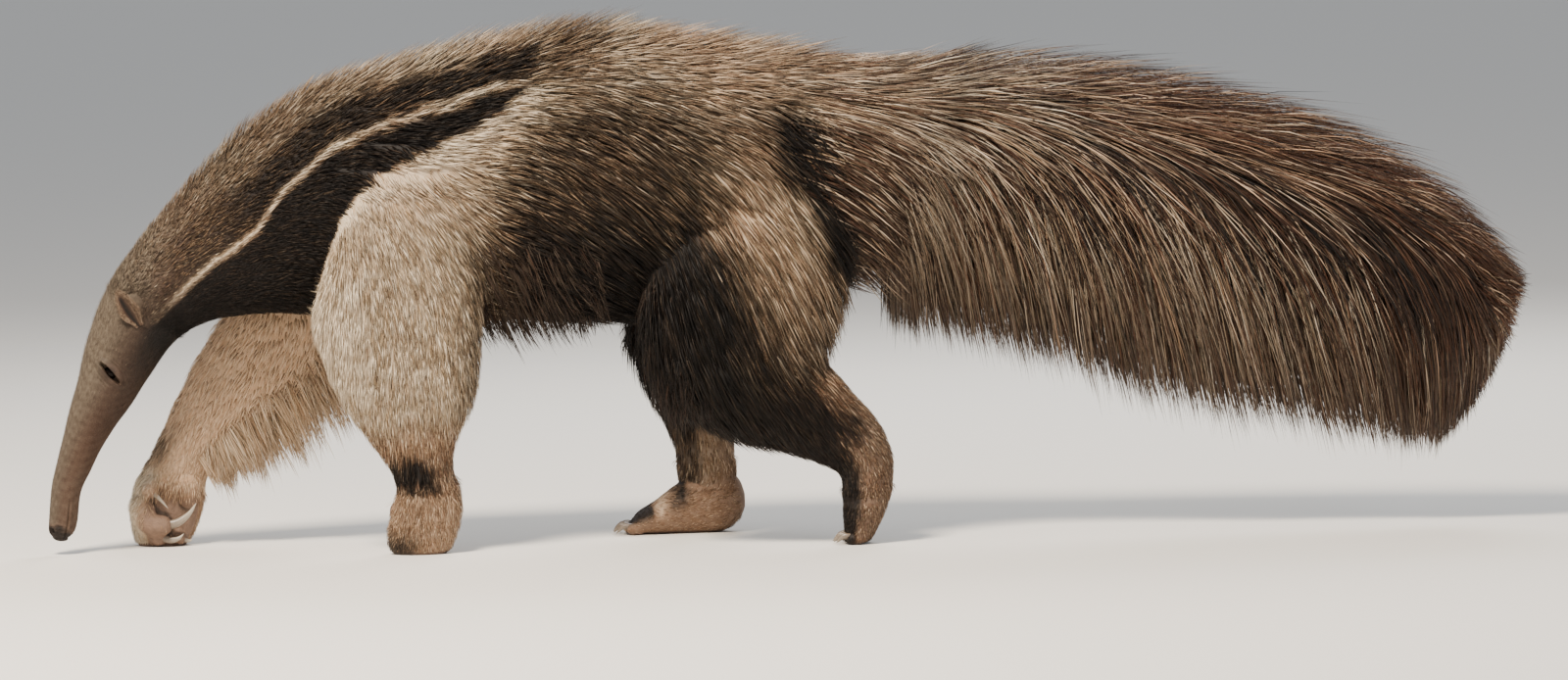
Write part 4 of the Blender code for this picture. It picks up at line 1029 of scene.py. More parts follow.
        head = where.on(HEAD)
        snout = 1 - step(4.0, 8.5, where.place)
        nose = 1 - step(1.1, 1.9, where.place + 60 * wobble * step(0.5, 1.5, where.place))
        cheek = step(0.35, -0.55, up) * step(2.5, 6.5, where.place)
        throat = step(0.05, -0.65, up) * step(7.2, 9.3, where.place)
        face = trunk * step(-0.625, -0.690, x)
        crown = 0.10 * (1 - snout) * step(-0.2, 0.5, up) + 0.12 * step(0.1, 0.9, up) + 0.06
        pale = pale * (1 - face) + face * (crown * (1 - 0.8 * cheek))
        dark = dark * (1 - face) + face * (0.26 + 0.08 * (1 - snout) + 0.26 * cheek + 0.45 * throat)
        dark = np.maximum(dark, 0.95 * np.maximum(wedge * trunk * step(9.0, 9.8, where.place), head * nose))
        warm = warm * (1 - face) + face * (0.08 + 0.15 * snout * step(0.7, -0.2, up) + 0.16 * cheek)
        bare = np.where(head, nose, 0.0)
        inward = step(0.098, 0.092, np.abs(points[:, 1])) * step(9.1, 9.9, where.place + rag)
        front = leg * step(-0.25, -0.75, up) * step(8.2, 9.0, where.place)
        bare = np.where(leg, 0.96 * inward * (1 - far * front), bare)
        pale = np.where(far, pale + 0.6 * front, pale)
        warm = np.where(far, warm * (1 - 0.9 * front), warm)
        bare = np.where(points[:, 2] < 0.004, 1.0, bare)
        shares = {"pale": pale, "dark": dark, "warm": warm, "bare": bare}
        return {key: np.clip(value, 0, 1) for key, value in shares.items()}


MARKS = Markings()


@dataclass
class SkinMesh:
    """A finished skin's arrays, from which the coat takes its roots."""

    points: np.ndarray
    normals: np.ndarray
    faces: np.ndarray


def normals_of(points: np.ndarray, faces: np.ndarray) -> np.ndarray:
    """Each point's normal: the sum of its faces' own, weighed by their areas.

    Args:
        points: The mesh's points.
        faces: Its triangles.

    Returns:
        One unit normal for each point.
    """
    corners = points[faces]
    flat = np.cross(corners[:, 1] - corners[:, 0], corners[:, 2] - corners[:, 0])
    total = np.zeros_like(points)
    for corner in range(3):
        for axis in range(3):
            total[:, axis] += np.bincount(faces[:, corner], flat[:, axis], len(points))
    return unit(total)


def merged(grids: list[np.ndarray], voxel: float, smoothing: int) -> SkinMesh:
    """One closed skin round all the grids, by a voxel remesh and a smoothing, read back as arrays.

    Args:
        grids: Closed surfaces as points by row and side.
        voxel: The remesh's voxel size in metres.
        smoothing: Passes of smoothing.

    Returns:
        The skin's arrays in the body's frame.
    """
    points, faces, start = [], [], 0
    for rows in grids:
        found, turned = closed_grid(rows)
        points.append(found)
        faces.append(turned + start)
        start += len(found)
    rough = mesh_piece("rough_skin", np.concatenate(points), np.concatenate(faces))
    remesh = rough.modifiers.new("Remesh", "REMESH")
    remesh.mode, remesh.voxel_size = "VOXEL", voxel
    smooth = rough.modifiers.new("Smooth", "SMOOTH")
    smooth.factor, smooth.iterations = 0.5, smoothing
    shown = rough.evaluated_get(bpy.context.evaluated_depsgraph_get())
    result = shown.to_mesh()
    result.calc_loop_triangles()
    points = np.zeros(len(result.vertices) * 3, np.float32)
    faces = np.zeros(len(result.loop_triangles) * 3, np.int32)
    result.vertices.foreach_get("co", points)
    result.loop_triangles.foreach_get("vertices", faces)
    points, faces = points.reshape(-1, 3).astype(float) - SHIFT, faces.reshape(-1, 3)
    points[:, 2] = np.maximum(points[:, 2], 0.0)
    shown.to_mesh_clear()
    bpy.data.objects.remove(rough)
    return SkinMesh(points, normals_of(points, faces), faces)


def hollows(mesh: SkinMesh, passes: int) -> np.ndarray:
    """How deep each point lies: the mean place of the points round it, less its own, along its normal.

    Args:
        mesh: A closed skin.
        passes: How many times the mean is taken, which widens it.

    Returns:
        Metres, above zero in a fold.
    """
    here, there = mesh.faces.ravel(), mesh.faces[:, [1, 2, 0]].ravel()
    count = np.maximum(np.bincount(here, minlength=len(mesh.points)), 1)
    spread = mesh.points
    for _ in range(passes):
        columns = [np.bincount(here, spread[there, k], len(spread)) / count for k in range(3)]
        spread = 0.5 * spread + 0.5 * np.stack(columns, -1)
    return ((spread - mesh.points) * mesh.normals).sum(1)


def dressed_skin(name: str, mesh: SkinMesh, finish: bpy.types.Material, slot: Slot) -> bpy.types.Object:
    """Makes a skin piece with its markings, and painted shade in the folds of its bare skin and between its tufts.

    Args:
        name: The piece's name.
        mesh: The skin's arrays.
        finish: Its material.
        slot: Its record slot.

    Returns:
        The piece.
    """
    marks = MARKS.shares(mesh.points, bearings(mesh.points)) | {"tone": 0.5 + 0.3 * ripple(mesh.points, 0.012, 2)}
    # Painted shade between the tufts: where the skin is not bare, its cream is cut.
    marks["pale"] = marks["pale"] * (0.86 + 0.14 * marks["bare"])
    # Painted shade in the folds of bare skin: the deeper a point lies, the darker it is.
    folds = step(0.00015, 0.00110, hollows(mesh, 14))
    marks["dark"] = np.maximum(marks["dark"], 0.85 * folds * marks["bare"])
    return mesh_piece(name, mesh.points, mesh.faces, finish, slot, marks)


@dataclass
class BodySkin:
    """The body's one skin, from the neck to the tail and down to the wrists and hocks."""

    voxel: float = 0.0052
    smoothing: int = 8
    mesh: SkinMesh | None = None

    def build(self, finish: bpy.types.Material) -> bpy.types.Object:
        """Merges the limbs' lofts into the skin, which stands for the trunk, tail and legs.

        Args:
            finish: The material to give it.

        Returns:
            The piece.
        """
        ends = ((BODY, BODY.last), (TAIL, TAIL.last), (NEAR_FORE, 9.5), (FAR_FORE, 9.5), (NEAR_HIND, 8.2), (FAR_HIND, 7.2))
        self.mesh = merged([limb.rows(limb.first, last) for limb, last in ends], self.voxel, self.smoothing)
        made = dressed_skin("skin_body", self.mesh, finish, Slot.BODY)
        fores = ("fore_left_upper", "fore_left_lower", "fore_right_upper", "fore_right_lower")
        hinds = ("hind_left_thigh", "hind_left_shank", "hind_right_thigh", "hind_right_shank")
        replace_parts(made, "neck", "torso", "tail", *fores, *hinds)
        return made


@dataclass
class PawSkins:
    """The four feet, each a fine skin merged from its palm or sole, its toes and its pad."""

    voxel: float = 0.0021
    smoothing: int = 3
    meshes: list[SkinMesh] = field(default_factory=list)

    def fore(self, limb: Limb, side: int) -> list[np.ndarray]:
        """A front paw's palm, folded toes and palm pad.

        Args:
            limb: The front leg.
            side: -1 on the left, 1 on the right.

        Returns:
            The paw's skin.
        """
        palm = limb.rows(8.4, 13.0)
        core = palm.mean(1, keepdims=True)
        grids = [core + (palm - core) * (0.78 + 0.22 * step(0, 14, np.arange(len(palm))))[:, None, None]]
        grids += [tube(in_paw(digit.toe, limb.rings, side), digit.toe_radii, 8, 24) for digit in FORE_DIGITS]
        return [*grids, tube(in_paw(PAD_PLACE, limb.rings, side), PAD_RADII, 6, 24)]

    def hind(self, grids: list[np.ndarray], rings: tuple, layout: tuple) -> list[np.ndarray]:
        """A hind foot's lofts and toes."""
        radii = (TOE_RADIUS, 0.9 * TOE_RADIUS)
        return grids + [tube(toe, radii, 5, 20) for toe in hind_toes(rings, layout)]

    def build(self, finish: bpy.types.Material) -> None:
        """Makes each paw in place of the frame's own.

        Args:
            finish: The material to give it.
        """
        near, far = NEAR_HIND.rows(7.6, 11.0), [FAR_SOLE.rows(0.0, 7.0), FAR_HIND.rows(6.4, 8.0)]
        plans = {
            "fore_left_paw": (self.fore(NEAR_FORE, -1), Slot.PALE),
            "fore_right_paw": (self.fore(FAR_FORE, 1), Slot.SKIN),
            "hind_left_foot": (self.hind([near], HIND_LEFT, LEFT_TOES), Slot.SKIN),
            "hind_right_foot": (self.hind(far, FOOT_RIGHT, RIGHT_TOES), Slot.SKIN),
        }
        for node, (grids, slot) in plans.items():
            self.meshes.append(merged(grids, self.voxel, self.smoothing))
            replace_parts(dressed_skin("skin_" + node, self.meshes[-1], finish, slot), node)


def together(meshes: list[SkinMesh]) -> SkinMesh:
    """Several skins as one set of arrays.

    Args:
        meshes: The skins.

    Returns:
        One skin.
    """
    starts = np.cumsum([0] + [len(mesh.points) for mesh in meshes[:-1]])
    return SkinMesh(
        np.concatenate([mesh.points for mesh in meshes]),
        np.concatenate([mesh.normals for mesh in meshes]),
        np.concatenate([mesh.faces + start for mesh, start in zip(meshes, starts)]),
    )


def in_paw(points: tuple, rings: tuple, side: int) -> np.ndarray:
    """Points of a paw's own frame in the body's frame: forward is -X, inward is towards the middle."""
    ring, table = rings[PAW_RING], np.array(points, float)
    return np.stack([ring.x - table[:, 0], ring.y - side * table[:, 1], table[:, 2]], -1)


def hind_toes(rings: tuple, layout: tuple) -> list[np.ndarray]:
    """Root and tip of each toe of a hind foot, fanned across its front, the middle one furthest forward.

    Args:
        rings: The foot's loft.
        layout: Ring, spread, reach and height.

    Returns:
        A root and a tip for each toe.
    """
    index, spread, reach, height = layout
    share = np.linspace(-1, 1, HIND_TOES)
    x, y = rings[index].x, rings[index].y
    roots = np.stack([x + 0 * share, y + 0.85 * spread * share, height + 0 * share], -1)
    tips = np.stack([x - reach * (1 - TOE_LAG * share**2), y + spread * share, 0.9 * height + 0 * share], -1)
    return [np.stack(pair) for pair in zip(roots, tips)]


@dataclass
class HeadSkin:
    """The head as one fine grid: the loft with its nostrils, mouth line, eyelids and brows raised or sunk."""

    rows: int = 300
    sides: int = 250
    slit_heading: float = math.radians(-50)
    slit_half: tuple[float, float] = (0.0190, 0.0031)
    lid_height: float = 0.0036
    nostril: tuple[float, float] = (0.95, math.radians(48))
    mouth_angle: float = math.radians(118)
    mesh: SkinMesh | None = None

    def relief(self, base: np.ndarray, place: np.ndarray, angle: np.ndarray) -> np.ndarray:
        """How far each point of the head stands proud of the loft, in metres.

        Args:
            base: The loft's points.
            place: Their places.
            angle: Their angles.

        Returns:
            The height of the relief at each point.
        """
        raised = np.zeros(base.shape[:-1])
        slit = np.array([math.cos(self.slit_heading), 0, math.sin(self.slit_heading)])
        brow = np.array([-slit[2], 0, slit[0]])
        for side in (-1, 1):
            pit = surface(TRUNK, self.nostril[0], side * self.nostril[1])
            away = np.linalg.norm((base - pit) * (1, 1, 0.7), axis=-1)
            raised += -0.0050 * bump(away, 0.0030) + 0.0012 * bump(away - 0.0055, 0.0020)
            eye = surface(TRUNK, EYE_PLACE, side * EYE_ANGLE)
            offset = base - eye
            near = np.abs(offset[..., 1]) < 0.03
            u, v = offset @ slit, offset @ brow
            open_half = self.slit_half[1] * (1 - np.clip(np.abs(u) / self.slit_half[0], 0, 1) ** 3)
            gap = np.hypot(np.maximum(np.abs(v) - open_half, 0), np.maximum(np.abs(u) - self.slit_half[0], 0))
            inside = step(0.0012, -0.0004, np.abs(v) - open_half) * step(1.0, 0.9, np.abs(u) / self.slit_half[0])
            lids = self.lid_height * bump(gap, 0.0050) * (0.75 + 0.5 * step(0.010, -0.016, u))
            first_fold = -0.0013 * bump(gap - 0.0085, 0.0013) * bump(u, 0.015)
            fold = first_fold - 0.0009 * bump(gap - 0.0130, 0.0014) * bump(u, 0.016)
            hollow = -0.0022 * bump(np.hypot(u, v), 0.026)
            raised += near * (lids * (1 - inside) - 0.0075 * inside + fold + hollow)
        mouth = np.abs(np.abs(angle) - self.mouth_angle) * between(TRUNK, place)[..., 5]
        run = step(0.15, 0.5, place) * (1 - step(2.3, 2.8, place))
        raised -= 0.0016 * bump(mouth, 0.0011) * run
        raised += 0.0006 * bump(mouth - 0.003, 0.0018) * run
        front = np.abs(place - 0.30) * 0.008
        raised -= 0.0014 * bump(front, 0.0010) * step(self.mouth_angle - 0.1, self.mouth_angle, np.abs(angle))
        jaw = step(2.5, 2.9, np.abs(angle)) * step(0.5, 1.5, place) * (1 - step(5.0, 8.0, place))
        raised += 0.0012 * jaw
        cheek = bump(place - 7.6, 1.4) * bump(np.abs(angle) - 1.95, 0.5)
        temple = bump(place - 9.0, 0.8) * bump(np.abs(angle) - 0.75, 0.3)
        raised += 0.0020 * cheek - 0.0015 * temple
        wrinkles = 0.00035 * np.sin(place * 42 + 3 * np.sin(angle * 2)) * (1 - step(1.2, 2.4, place))
        return raised + wrinkles

    def grid(self) -> np.ndarray:
        """The head's points by row and side, with a rounded tip and a neck end drawn in under the body's skin."""
        fine = np.linspace(HEAD.first, HEAD.last, 600)
        centres = between(TRUNK, fine)[:, [0, 2]]
        length = np.concatenate([[0], np.cumsum(np.linalg.norm(np.diff(centres, axis=0), axis=1))])
        place = np.interp(np.linspace(0, length[-1], self.rows), length, fine)[:, None]
        angle = ((np.arange(self.sides) * 2 / self.sides + 1) % 2 - 1)[None, :] * math.pi
        base = surface(TRUNK, place, angle, -HEAD.at(place, "inset") / 1000)
        place, angle = np.broadcast_arrays(place, angle)
        out = unit(base - surface(TRUNK, place, angle, -0.008))
        tuck = -0.010 * step(9.9, 10.4, place)
        points = base + out * (self.relief(base, place, angle) + tuck)[..., None]
        cap = np.linspace(1.45, 0.1, 9)[:, None, None]
        centre = points[0].mean(0)
        tip = centre + (points[0] - centre) * np.sin(cap[::-1])
        heading = math.radians(TRUNK[0].heading)
        tip = tip - 0.0045 * np.cos(cap[::-1]) * np.array([math.cos(heading), 0, math.sin(heading)])
        return np.concatenate([tip, points])

    def build(self, finish: bpy.types.Material) -> bpy.types.Object:
        """Makes the head piece with its markings. The skin round the eye slits is darkened as painted shade of the
        slits and their folds.

        Args:
            finish: The material to give it.

        Returns:
            The piece.
        """
        points, faces = closed_grid(self.grid())
        points[:, 2] = np.maximum(points[:, 2], 0.001)
        self.mesh = SkinMesh(points, normals_of(points, faces), faces)
        where = bearings(points)
        marks = MARKS.shares(points, where) | {"tone": 0.5 + 0.3 * ripple(points, 0.008, 2)}
        for side in (-1, 1):
            eye = surface(TRUNK, EYE_PLACE, side * EYE_ANGLE)
            # Painted shade round each eye: the skin by the slit and its folds is darkened, and partly bare.
            rim = bump(np.linalg.norm((points - eye) * (1, 0.4, 1), axis=-1), 0.0165)
            marks["dark"] = np.maximum(marks["dark"], 0.90 * rim)
            marks["bare"] = np.maximum(marks["bare"], 0.6 * step(0.45, 0.75, rim))
        made = mesh_piece("skin_head", points, faces, finish, Slot.HEAD, marks)
        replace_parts(made, "head")
        return made


EAR_SPOT = (-0.6965, 0.0480, 0.3175)


@dataclass
class Ear:
    """One ear: a cupped leaf of skin, hollow towards its front, furred behind and along its rim."""

    side: int
    root: tuple[float, float, float] = (-0.6830, 0.0425, 0.2940)
    rises: tuple[float, float, float] = (-0.50, 0.12, 0.87)
    opens: tuple[float, float, float] = (-0.50, 1.0, 0.05)
    long: float = 0.0520
    half_width: float = 0.0138
    cup: float = 0.0080
    thick: float = 0.0019
    steps: int = 34
    sides: int = 48

    def axes(self) -> tuple[np.ndarray, np.ndarray, np.ndarray]:
        """The ear's own directions: across, out of its hollow, and towards its tip."""
        mirror = np.array([1, self.side, 1])
        tall = unit(np.array(self.rises) * mirror)
        hollow = np.array(self.opens) * mirror
        hollow = unit(hollow - (hollow @ tall) * tall)
        return np.cross(hollow, tall), hollow, tall

    def leaf(self) -> tuple[np.ndarray, np.ndarray]:
        """Rows of the leaf, and how far each point is inside its hollow.

        At each height t the half width is one less t to the power 2.6, to the power 0.62, drawn in at the root.
        Across it the leaf bends forward with the square of the distance from its middle, more at its front edge,
        and a ridge stands in the hollow.

        Returns:
            Points by row and side, and the hollow's share at each.
        """
        t = np.linspace(0.0, 0.996, self.steps)[:, None]
        turn = np.linspace(0, 2 * math.pi, self.sides, endpoint=False)[None, :]
        beside = np.sign(np.cos(turn)) * np.abs(np.cos(turn)) ** 0.7
        depth = np.sign(np.sin(turn)) * np.abs(np.sin(turn)) ** 0.7
        width = (1 - t**2.6) ** 0.62 * (0.42 + 0.58 * step(0.0, 0.42, t))
        across, hollow, tall = self.axes()
        front = beside * (1 if across[0] < 0 else -1)
        lean = beside**2 * np.where(front > 0, 1.15, 0.55) - 0.35 * bump(front + 0.35, 0.35)
        out = self.cup * width * lean + self.thick * depth * (1 + 0.5 * bump(front + 0.5, 0.5)) + 0.004 * t**2
        root = np.array(self.root) * (1, self.side, 1)
        rows = root + (self.half_width * width * beside)[..., None] * across + out[..., None] * hollow
        rows = rows + (self.long * t + 0 * turn)[..., None] * tall
        slit = 1.5 * bump((front - 0.25) / 0.42, 1.0) ** 2 + 0.6 * bump((front + 0.50) / 0.14, 1.0) * step(0.8, 0.4, t)
        return rows, step(0.1, 0.5, depth) * slit.clip(0, 1) * step(0.97, 0.80, t)

    def build(self, finish: bpy.types.Material, hair: bpy.types.Material) -> None:
        """Makes the ear and its fur.

        Args:
            finish: The skin's material.
            hair: The fur's material.
        """
        rows, inside = self.leaf()
        points, faces = closed_grid(rows)
        faces = faces[:, ::-1] if volume(points, faces) < 0 else faces
        cavity = np.append(inside.ravel(), [0, 0])
        # Painted shade: the skin in the ear's hollow is darker and warmer, standing for the shade inside the cup.
        marks = {
            "pale": 0.16 * (1 - cavity),
            "dark": 0.14 + 0.84 * cavity,
            "warm": 0.24 + 0.2 * cavity,
            "bare": 0 * cavity,
            "tone": 0.5 + 0.3 * ripple(points, 0.01, 2),
        }
        name = "left" if self.side < 0 else "right"
        made = mesh_piece("ear_skin_" + name, points, faces, finish, Slot.HEAD, marks)
        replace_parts(made, "ear_" + name)
        self.fur(SkinMesh(points, normals_of(points, faces), faces), cavity, hair, "ear_fur_" + name)

    def fur(self, skin: SkinMesh, cavity: np.ndarray, hair: bpy.types.Material, name: str) -> None:
        """Grows short fur on the ear's back and rim, and thinly in its hollow.

        Args:
            skin: The ear's arrays.
            cavity: How far each point is inside the hollow.
            hair: The fur's material.
            name: The piece's name.
        """
        chance = np.random.default_rng(SEED + 3)
        inner = cavity[skin.faces].mean(1)
        roots, normals = scattered(skin, np.where(inner > 0.25, 0.0200, 0.0010), chance)
        n = len(roots)
        way = unit(self.axes()[2] + 0.45 * normals + 0.25 * chance.normal(0, 1, (n, 3)))
        tip = roots + way * (0.0050 * chance.uniform(0.6, 1.3, n))[:, None]
        middle = (roots + tip) / 2 + 0.0006 * normals
        picked = chance.uniform(0, 1, n)
        marks = {"pale": 0.10 + 0.45 * (picked < 0.40), "dark": 0.55 * (picked > 0.70), "warm": 0.30 + 0 * picked}
        marks["tone"] = chance.uniform(0, 1, n)
        patch = HEAD.unwrap(np.full(n, 9.0), self.side * chance.uniform(0.7, 1.1, n))
        width = 0.00040 * chance.uniform(0.7, 1.2, n)
        Strands(roots - 0.0005 * normals, middle, tip, normals, width, marks, patch).pieces(name, hair, Slot.HEAD, 1, 0)


def volume(points: np.ndarray, faces: np.ndarray) -> float:
    """The volume inside faces that point outwards, a sixth of the sum of their corners' triple products."""
    a, b, c = (points[faces[:, k]] for k in range(3))
    return float((a * np.cross(b, c)).sum() / 6)


@dataclass
class Eyeball:
    """One eye, a sphere of latitudes and longitudes, set in its lids as deep as the real one."""

    side: int
    radius: float = 0.0088
    sunk: float = 0.0128

    def build(self, finish: bpy.types.Material) -> bpy.types.Object:
        """Makes the eyeball in place of the frame's own.

        Args:
            finish: The material to give it.

        Returns:
            The piece.
        """
        north = np.linspace(0.12, math.pi - 0.12, 22)[:, None]
        east = np.linspace(0, 2 * math.pi, 32, endpoint=False)[None, :]
        ball = np.stack([np.sin(north) * np.cos(east), np.sin(north) * np.sin(east), np.cos(north) + 0 * east], -1)
        centre = surface(TRUNK, EYE_PLACE, self.side * EYE_ANGLE) - np.array([0, self.side * self.sunk, 0])
        points, faces = closed_grid(centre + self.radius * ball)
        faces = faces[:, ::-1] if volume(points - centre, faces) < 0 else faces
        name = "left" if self.side < 0 else "right"
        made = mesh_piece("eyeball_" + name, points, faces, finish, Slot.EYE)
        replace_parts(made, "eye_" + name)
        return made


@dataclass
class Claws:
    """Every claw: a curved horn, wider than high, its radius falling as one less t to the power 1.7."""

    steps: int = 22
    sides: int = 16

    def horn(self, path: np.ndarray, radius: float) -> tuple[np.ndarray, np.ndarray]:
        """Rows of one horn along its path, and how far along each row is.

        Args:
            path: Points along it.
            radius: Its radius at the root.

        Returns:
            The rows, and each row's share of the length.
        """
        table = np.array(path, float)
        t = np.linspace(0, 1, self.steps)
        centres = between(table, t * (len(table) - 1))
        ways = unit(np.gradient(centres, axis=0))
        side = unit(np.cross(ways, (0.1, 1.0, 0.1)))
        up = np.cross(side, ways)
        taper = radius * np.maximum(1 - t**1.7, 0.05)[:, None, None]
        angle = (np.arange(self.sides) * 2 * math.pi / self.sides)[None, :, None]
        ring = 1.2 * np.sin(angle) * -side[:, None] + 0.9 * np.cos(angle) * up[:, None]
        return centres[:, None] + taper * ring, t

    def paths(self) -> list[tuple[str, np.ndarray, float]]:
        """The name, path and radius of each claw."""
        found = []
        for label, rings, side in (("fore_left", FORE_LEFT, -1), ("fore_right", FORE_RIGHT, 1)):
            for i, digit in enumerate(FORE_DIGITS):
                found.append((f"{label}_{i + 1}", in_paw(digit.claw, rings, side), digit.claw_radius))
        for label, rings, layout in (("hind_left", HIND_LEFT, LEFT_TOES), ("hind_right", FOOT_RIGHT, RIGHT_TOES)):
            for i, (_, tip) in enumerate(hind_toes(rings, layout)):
                reach = np.array([[0, 0, 0.002], [-0.55, 0, 0.0035], [-1, 0, 0]]) * (HIND_CLAW_LENGTH, 1, 1)
                path = tip + reach
                path[2, 2] = HIND_CLAW_TIP
                found.append((f"{label}_{i + 1}", path, HIND_CLAW_RADIUS))
        return found

    def build(self, finish: bpy.types.Material) -> None:
        """Makes each claw in place of the frame's own.

        Args:
            finish: The material to give it.
        """
        for label, path, radius in self.paths():
            rows, t = self.horn(path, radius)
            points, faces = closed_grid(rows)
            faces = faces[:, ::-1] if volume(points - points.mean(0), faces) < 0 else faces
            along = np.concatenate([np.repeat(t, self.sides), [0, 1]]) * (0.45 if "hind" in label else 1.0)
            made = mesh_piece("horn_" + label, points, faces, finish, Slot.CLAW, {"along": along})
            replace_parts(made, "claw_" + label)


@dataclass
class Strands:
    """Tapered, bent tufts of hair, each with its spine, flat side and pigments, gathered as arrays."""

    root: np.ndarray
    middle: np.ndarray
    tip: np.ndarray
    facing: np.ndarray
    half_width: np.ndarray
    marks: dict
    patch: np.ndarray
    thinness: float = 0.35

    def part(self, chosen: np.ndarray) -> "Strands":
        """The strands that a mask or a list of numbers picks."""
        marks = {key: value[chosen] for key, value in self.marks.items()}
        arrays = (self.root, self.middle, self.tip, self.facing, self.half_width)
        return Strands(*[a[chosen] for a in arrays], marks, self.patch[chosen], self.thinness)

    def gathered(self, size: float, pull: float) -> "Strands":
        """Draws the tips of strands that root in the same cube of space towards their mean.

        Args:
            size: The cube's edge in metres.
            pull: The share of the way to the mean.

        Returns:
            These strands.
        """
        cell = np.floor((self.root + 0.35 * size * ripple(self.root, size * 3, 12)[:, None]) / size).astype(np.int64)
        _, group = np.unique(cell @ np.array([1, 4099, 16785407]), return_inverse=True)
        count = np.bincount(group)
        mean = np.stack([np.bincount(group, self.tip[:, k]) / count for k in range(3)], -1)[group]
        self.tip = self.tip + pull * (mean - self.tip)
        return self

    def arrays(self, bands: int, banding: float) -> tuple[np.ndarray, np.ndarray, dict, np.ndarray]:
        """The strands as one mesh: a three-sided section at each step of a quadratic curve, and a pointed tip.

        A point of the spine is (1 - t) squared of the root, 2t(1 - t) of the middle and t squared of the tip.

        Args:
            bands: Sections of each strand before its tip.
            banding: How much darker root and tip are than the middle.

        Returns:
            Points, faces, marks at each point, and the unwrap at each point.
        """
        count = len(self.root)
        t = np.append(np.arange(bands) / bands, 1.0)[None, :, None]
        root, middle, tip = self.root[:, None], self.middle[:, None], self.tip[:, None]
        spine = (1 - t) ** 2 * root + 2 * t * (1 - t) * middle + t**2 * tip
        way = unit(2 * (1 - t[:, :-1]) * (middle - root) + 2 * t[:, :-1] * (tip - middle))
        across = unit(np.cross(way, self.facing[:, None]))
        raised = np.cross(across, way)
        full = (1 - t[:, :-1] ** 2.2) * (0.62 + 0.9 * t[:, :-1]).clip(0, 1) * self.half_width[:, None, None]
        rings = []
        for turn in (math.pi / 2, math.pi * 7 / 6, math.pi * 11 / 6):
            rings.append(spine[:, :-1] + full * (math.sin(turn) * self.thinness * raised + math.cos(turn) * across))
        body = np.stack(rings, 2).reshape(count, -1, 3)
        points = np.concatenate([body, spine[:, -1:]], 1)
        size = points.shape[1]
        faces = [(0, 1, 2)]
        for band in range(bands - 1):
            for k in range(3):
                a, b = 3 * band + k, 3 * band + (k + 1) % 3
                faces += [(a, a + 3, b + 3), (a, b + 3, b)]
        faces += [(3 * (bands - 1) + k, size - 1, 3 * (bands - 1) + (k + 1) % 3) for k in range(3)]
        faces = (np.array(faces)[None] + (np.arange(count) * size)[:, None, None]).reshape(-1, 3)
        along = np.append(np.repeat(np.arange(bands) / bands, 3), 1.0)[None, :]
        marks = {key: np.repeat(value, size).reshape(count, size) for key, value in self.marks.items()}
        ends = marks.get("ends", 0.0) * step(0.30, 0.75, along)
        marks["pale"] = marks["pale"] * (1 - banding * (2 * along - 0.9).clip(-1, 1) ** 2) * (1 - ends)
        marks["dark"] = 1 - (1 - marks["dark"]) * (1 - 0.45 * banding * (1 - along) ** 2) * (1 - 0.75 * ends)
        marks = {key: value.ravel() for key, value in marks.items() if key not in ("bare", "ends")}
        spread = np.stack([np.append(np.tile([0, 0.5, 1], bands), 0.5), along[0]], -1) * 0.003
        return points.reshape(-1, 3), faces, marks, (self.patch[:, None] + spread[None]).reshape(-1, 2)

    def pieces(self, name: str, finish: bpy.types.Material, slot: Slot, bands: int, banding: float) -> int:
        """Makes the mesh pieces, each kept under the limit on faces.

        Args:
            name: The pieces' common name.
            finish: Their material.
            slot: The record's slot.
            bands: Sections of each strand.
            banding: How strong the bands of colour are.

        Returns:
            The number of triangles.
        """
        each = 6 * bands - 2
        room = PIECE_LIMIT // each
        total = 0
        for number, start in enumerate(range(0, len(self.root), room)):
            chosen = np.arange(start, min(start + room, len(self.root)))
            points, faces, marks, uv = self.part(chosen).arrays(bands, banding)
            points[:, 2] = np.maximum(points[:, 2], 0.0005)
            mesh_piece(f"{name}_{number + 1}", points, faces, finish, slot, marks, uv)
            total += len(faces)
        return total


def scattered(skin: SkinMesh, spacing: np.ndarray, chance: np.random.Generator) -> tuple[np.ndarray, np.ndarray]:
    """Roots spread evenly over a skin, one for each spacing squared of its area.

    Args:
        skin: The skin's arrays.
        spacing: Metres between tufts, for each face.
        chance: The random source.

    Returns:
        The roots and the skin's normals there.
    """
    corners = skin.points[skin.faces]
    area = np.linalg.norm(np.cross(corners[:, 1] - corners[:, 0], corners[:, 2] - corners[:, 0]), axis=1) / 2
    share = np.cumsum(area / spacing**2)
    count = int(share[-1])
    face = np.searchsorted(share, np.arange(count) + chance.uniform(0, 1, count)).clip(0, len(share) - 1)
    a, b = chance.uniform(0, 1, (2, count, 1))
    fold = a + b > 1
    a, b = np.where(fold, 1 - a, a), np.where(fold, 1 - b, b)
    roots = corners[face, 0] * (1 - a - b) + corners[face, 1] * a + corners[face, 2] * b
    blend = skin.normals[skin.faces[face]]
    return roots, unit(blend[:, 0] * (1 - a - b) + blend[:, 1] * a + blend[:, 2] * b)


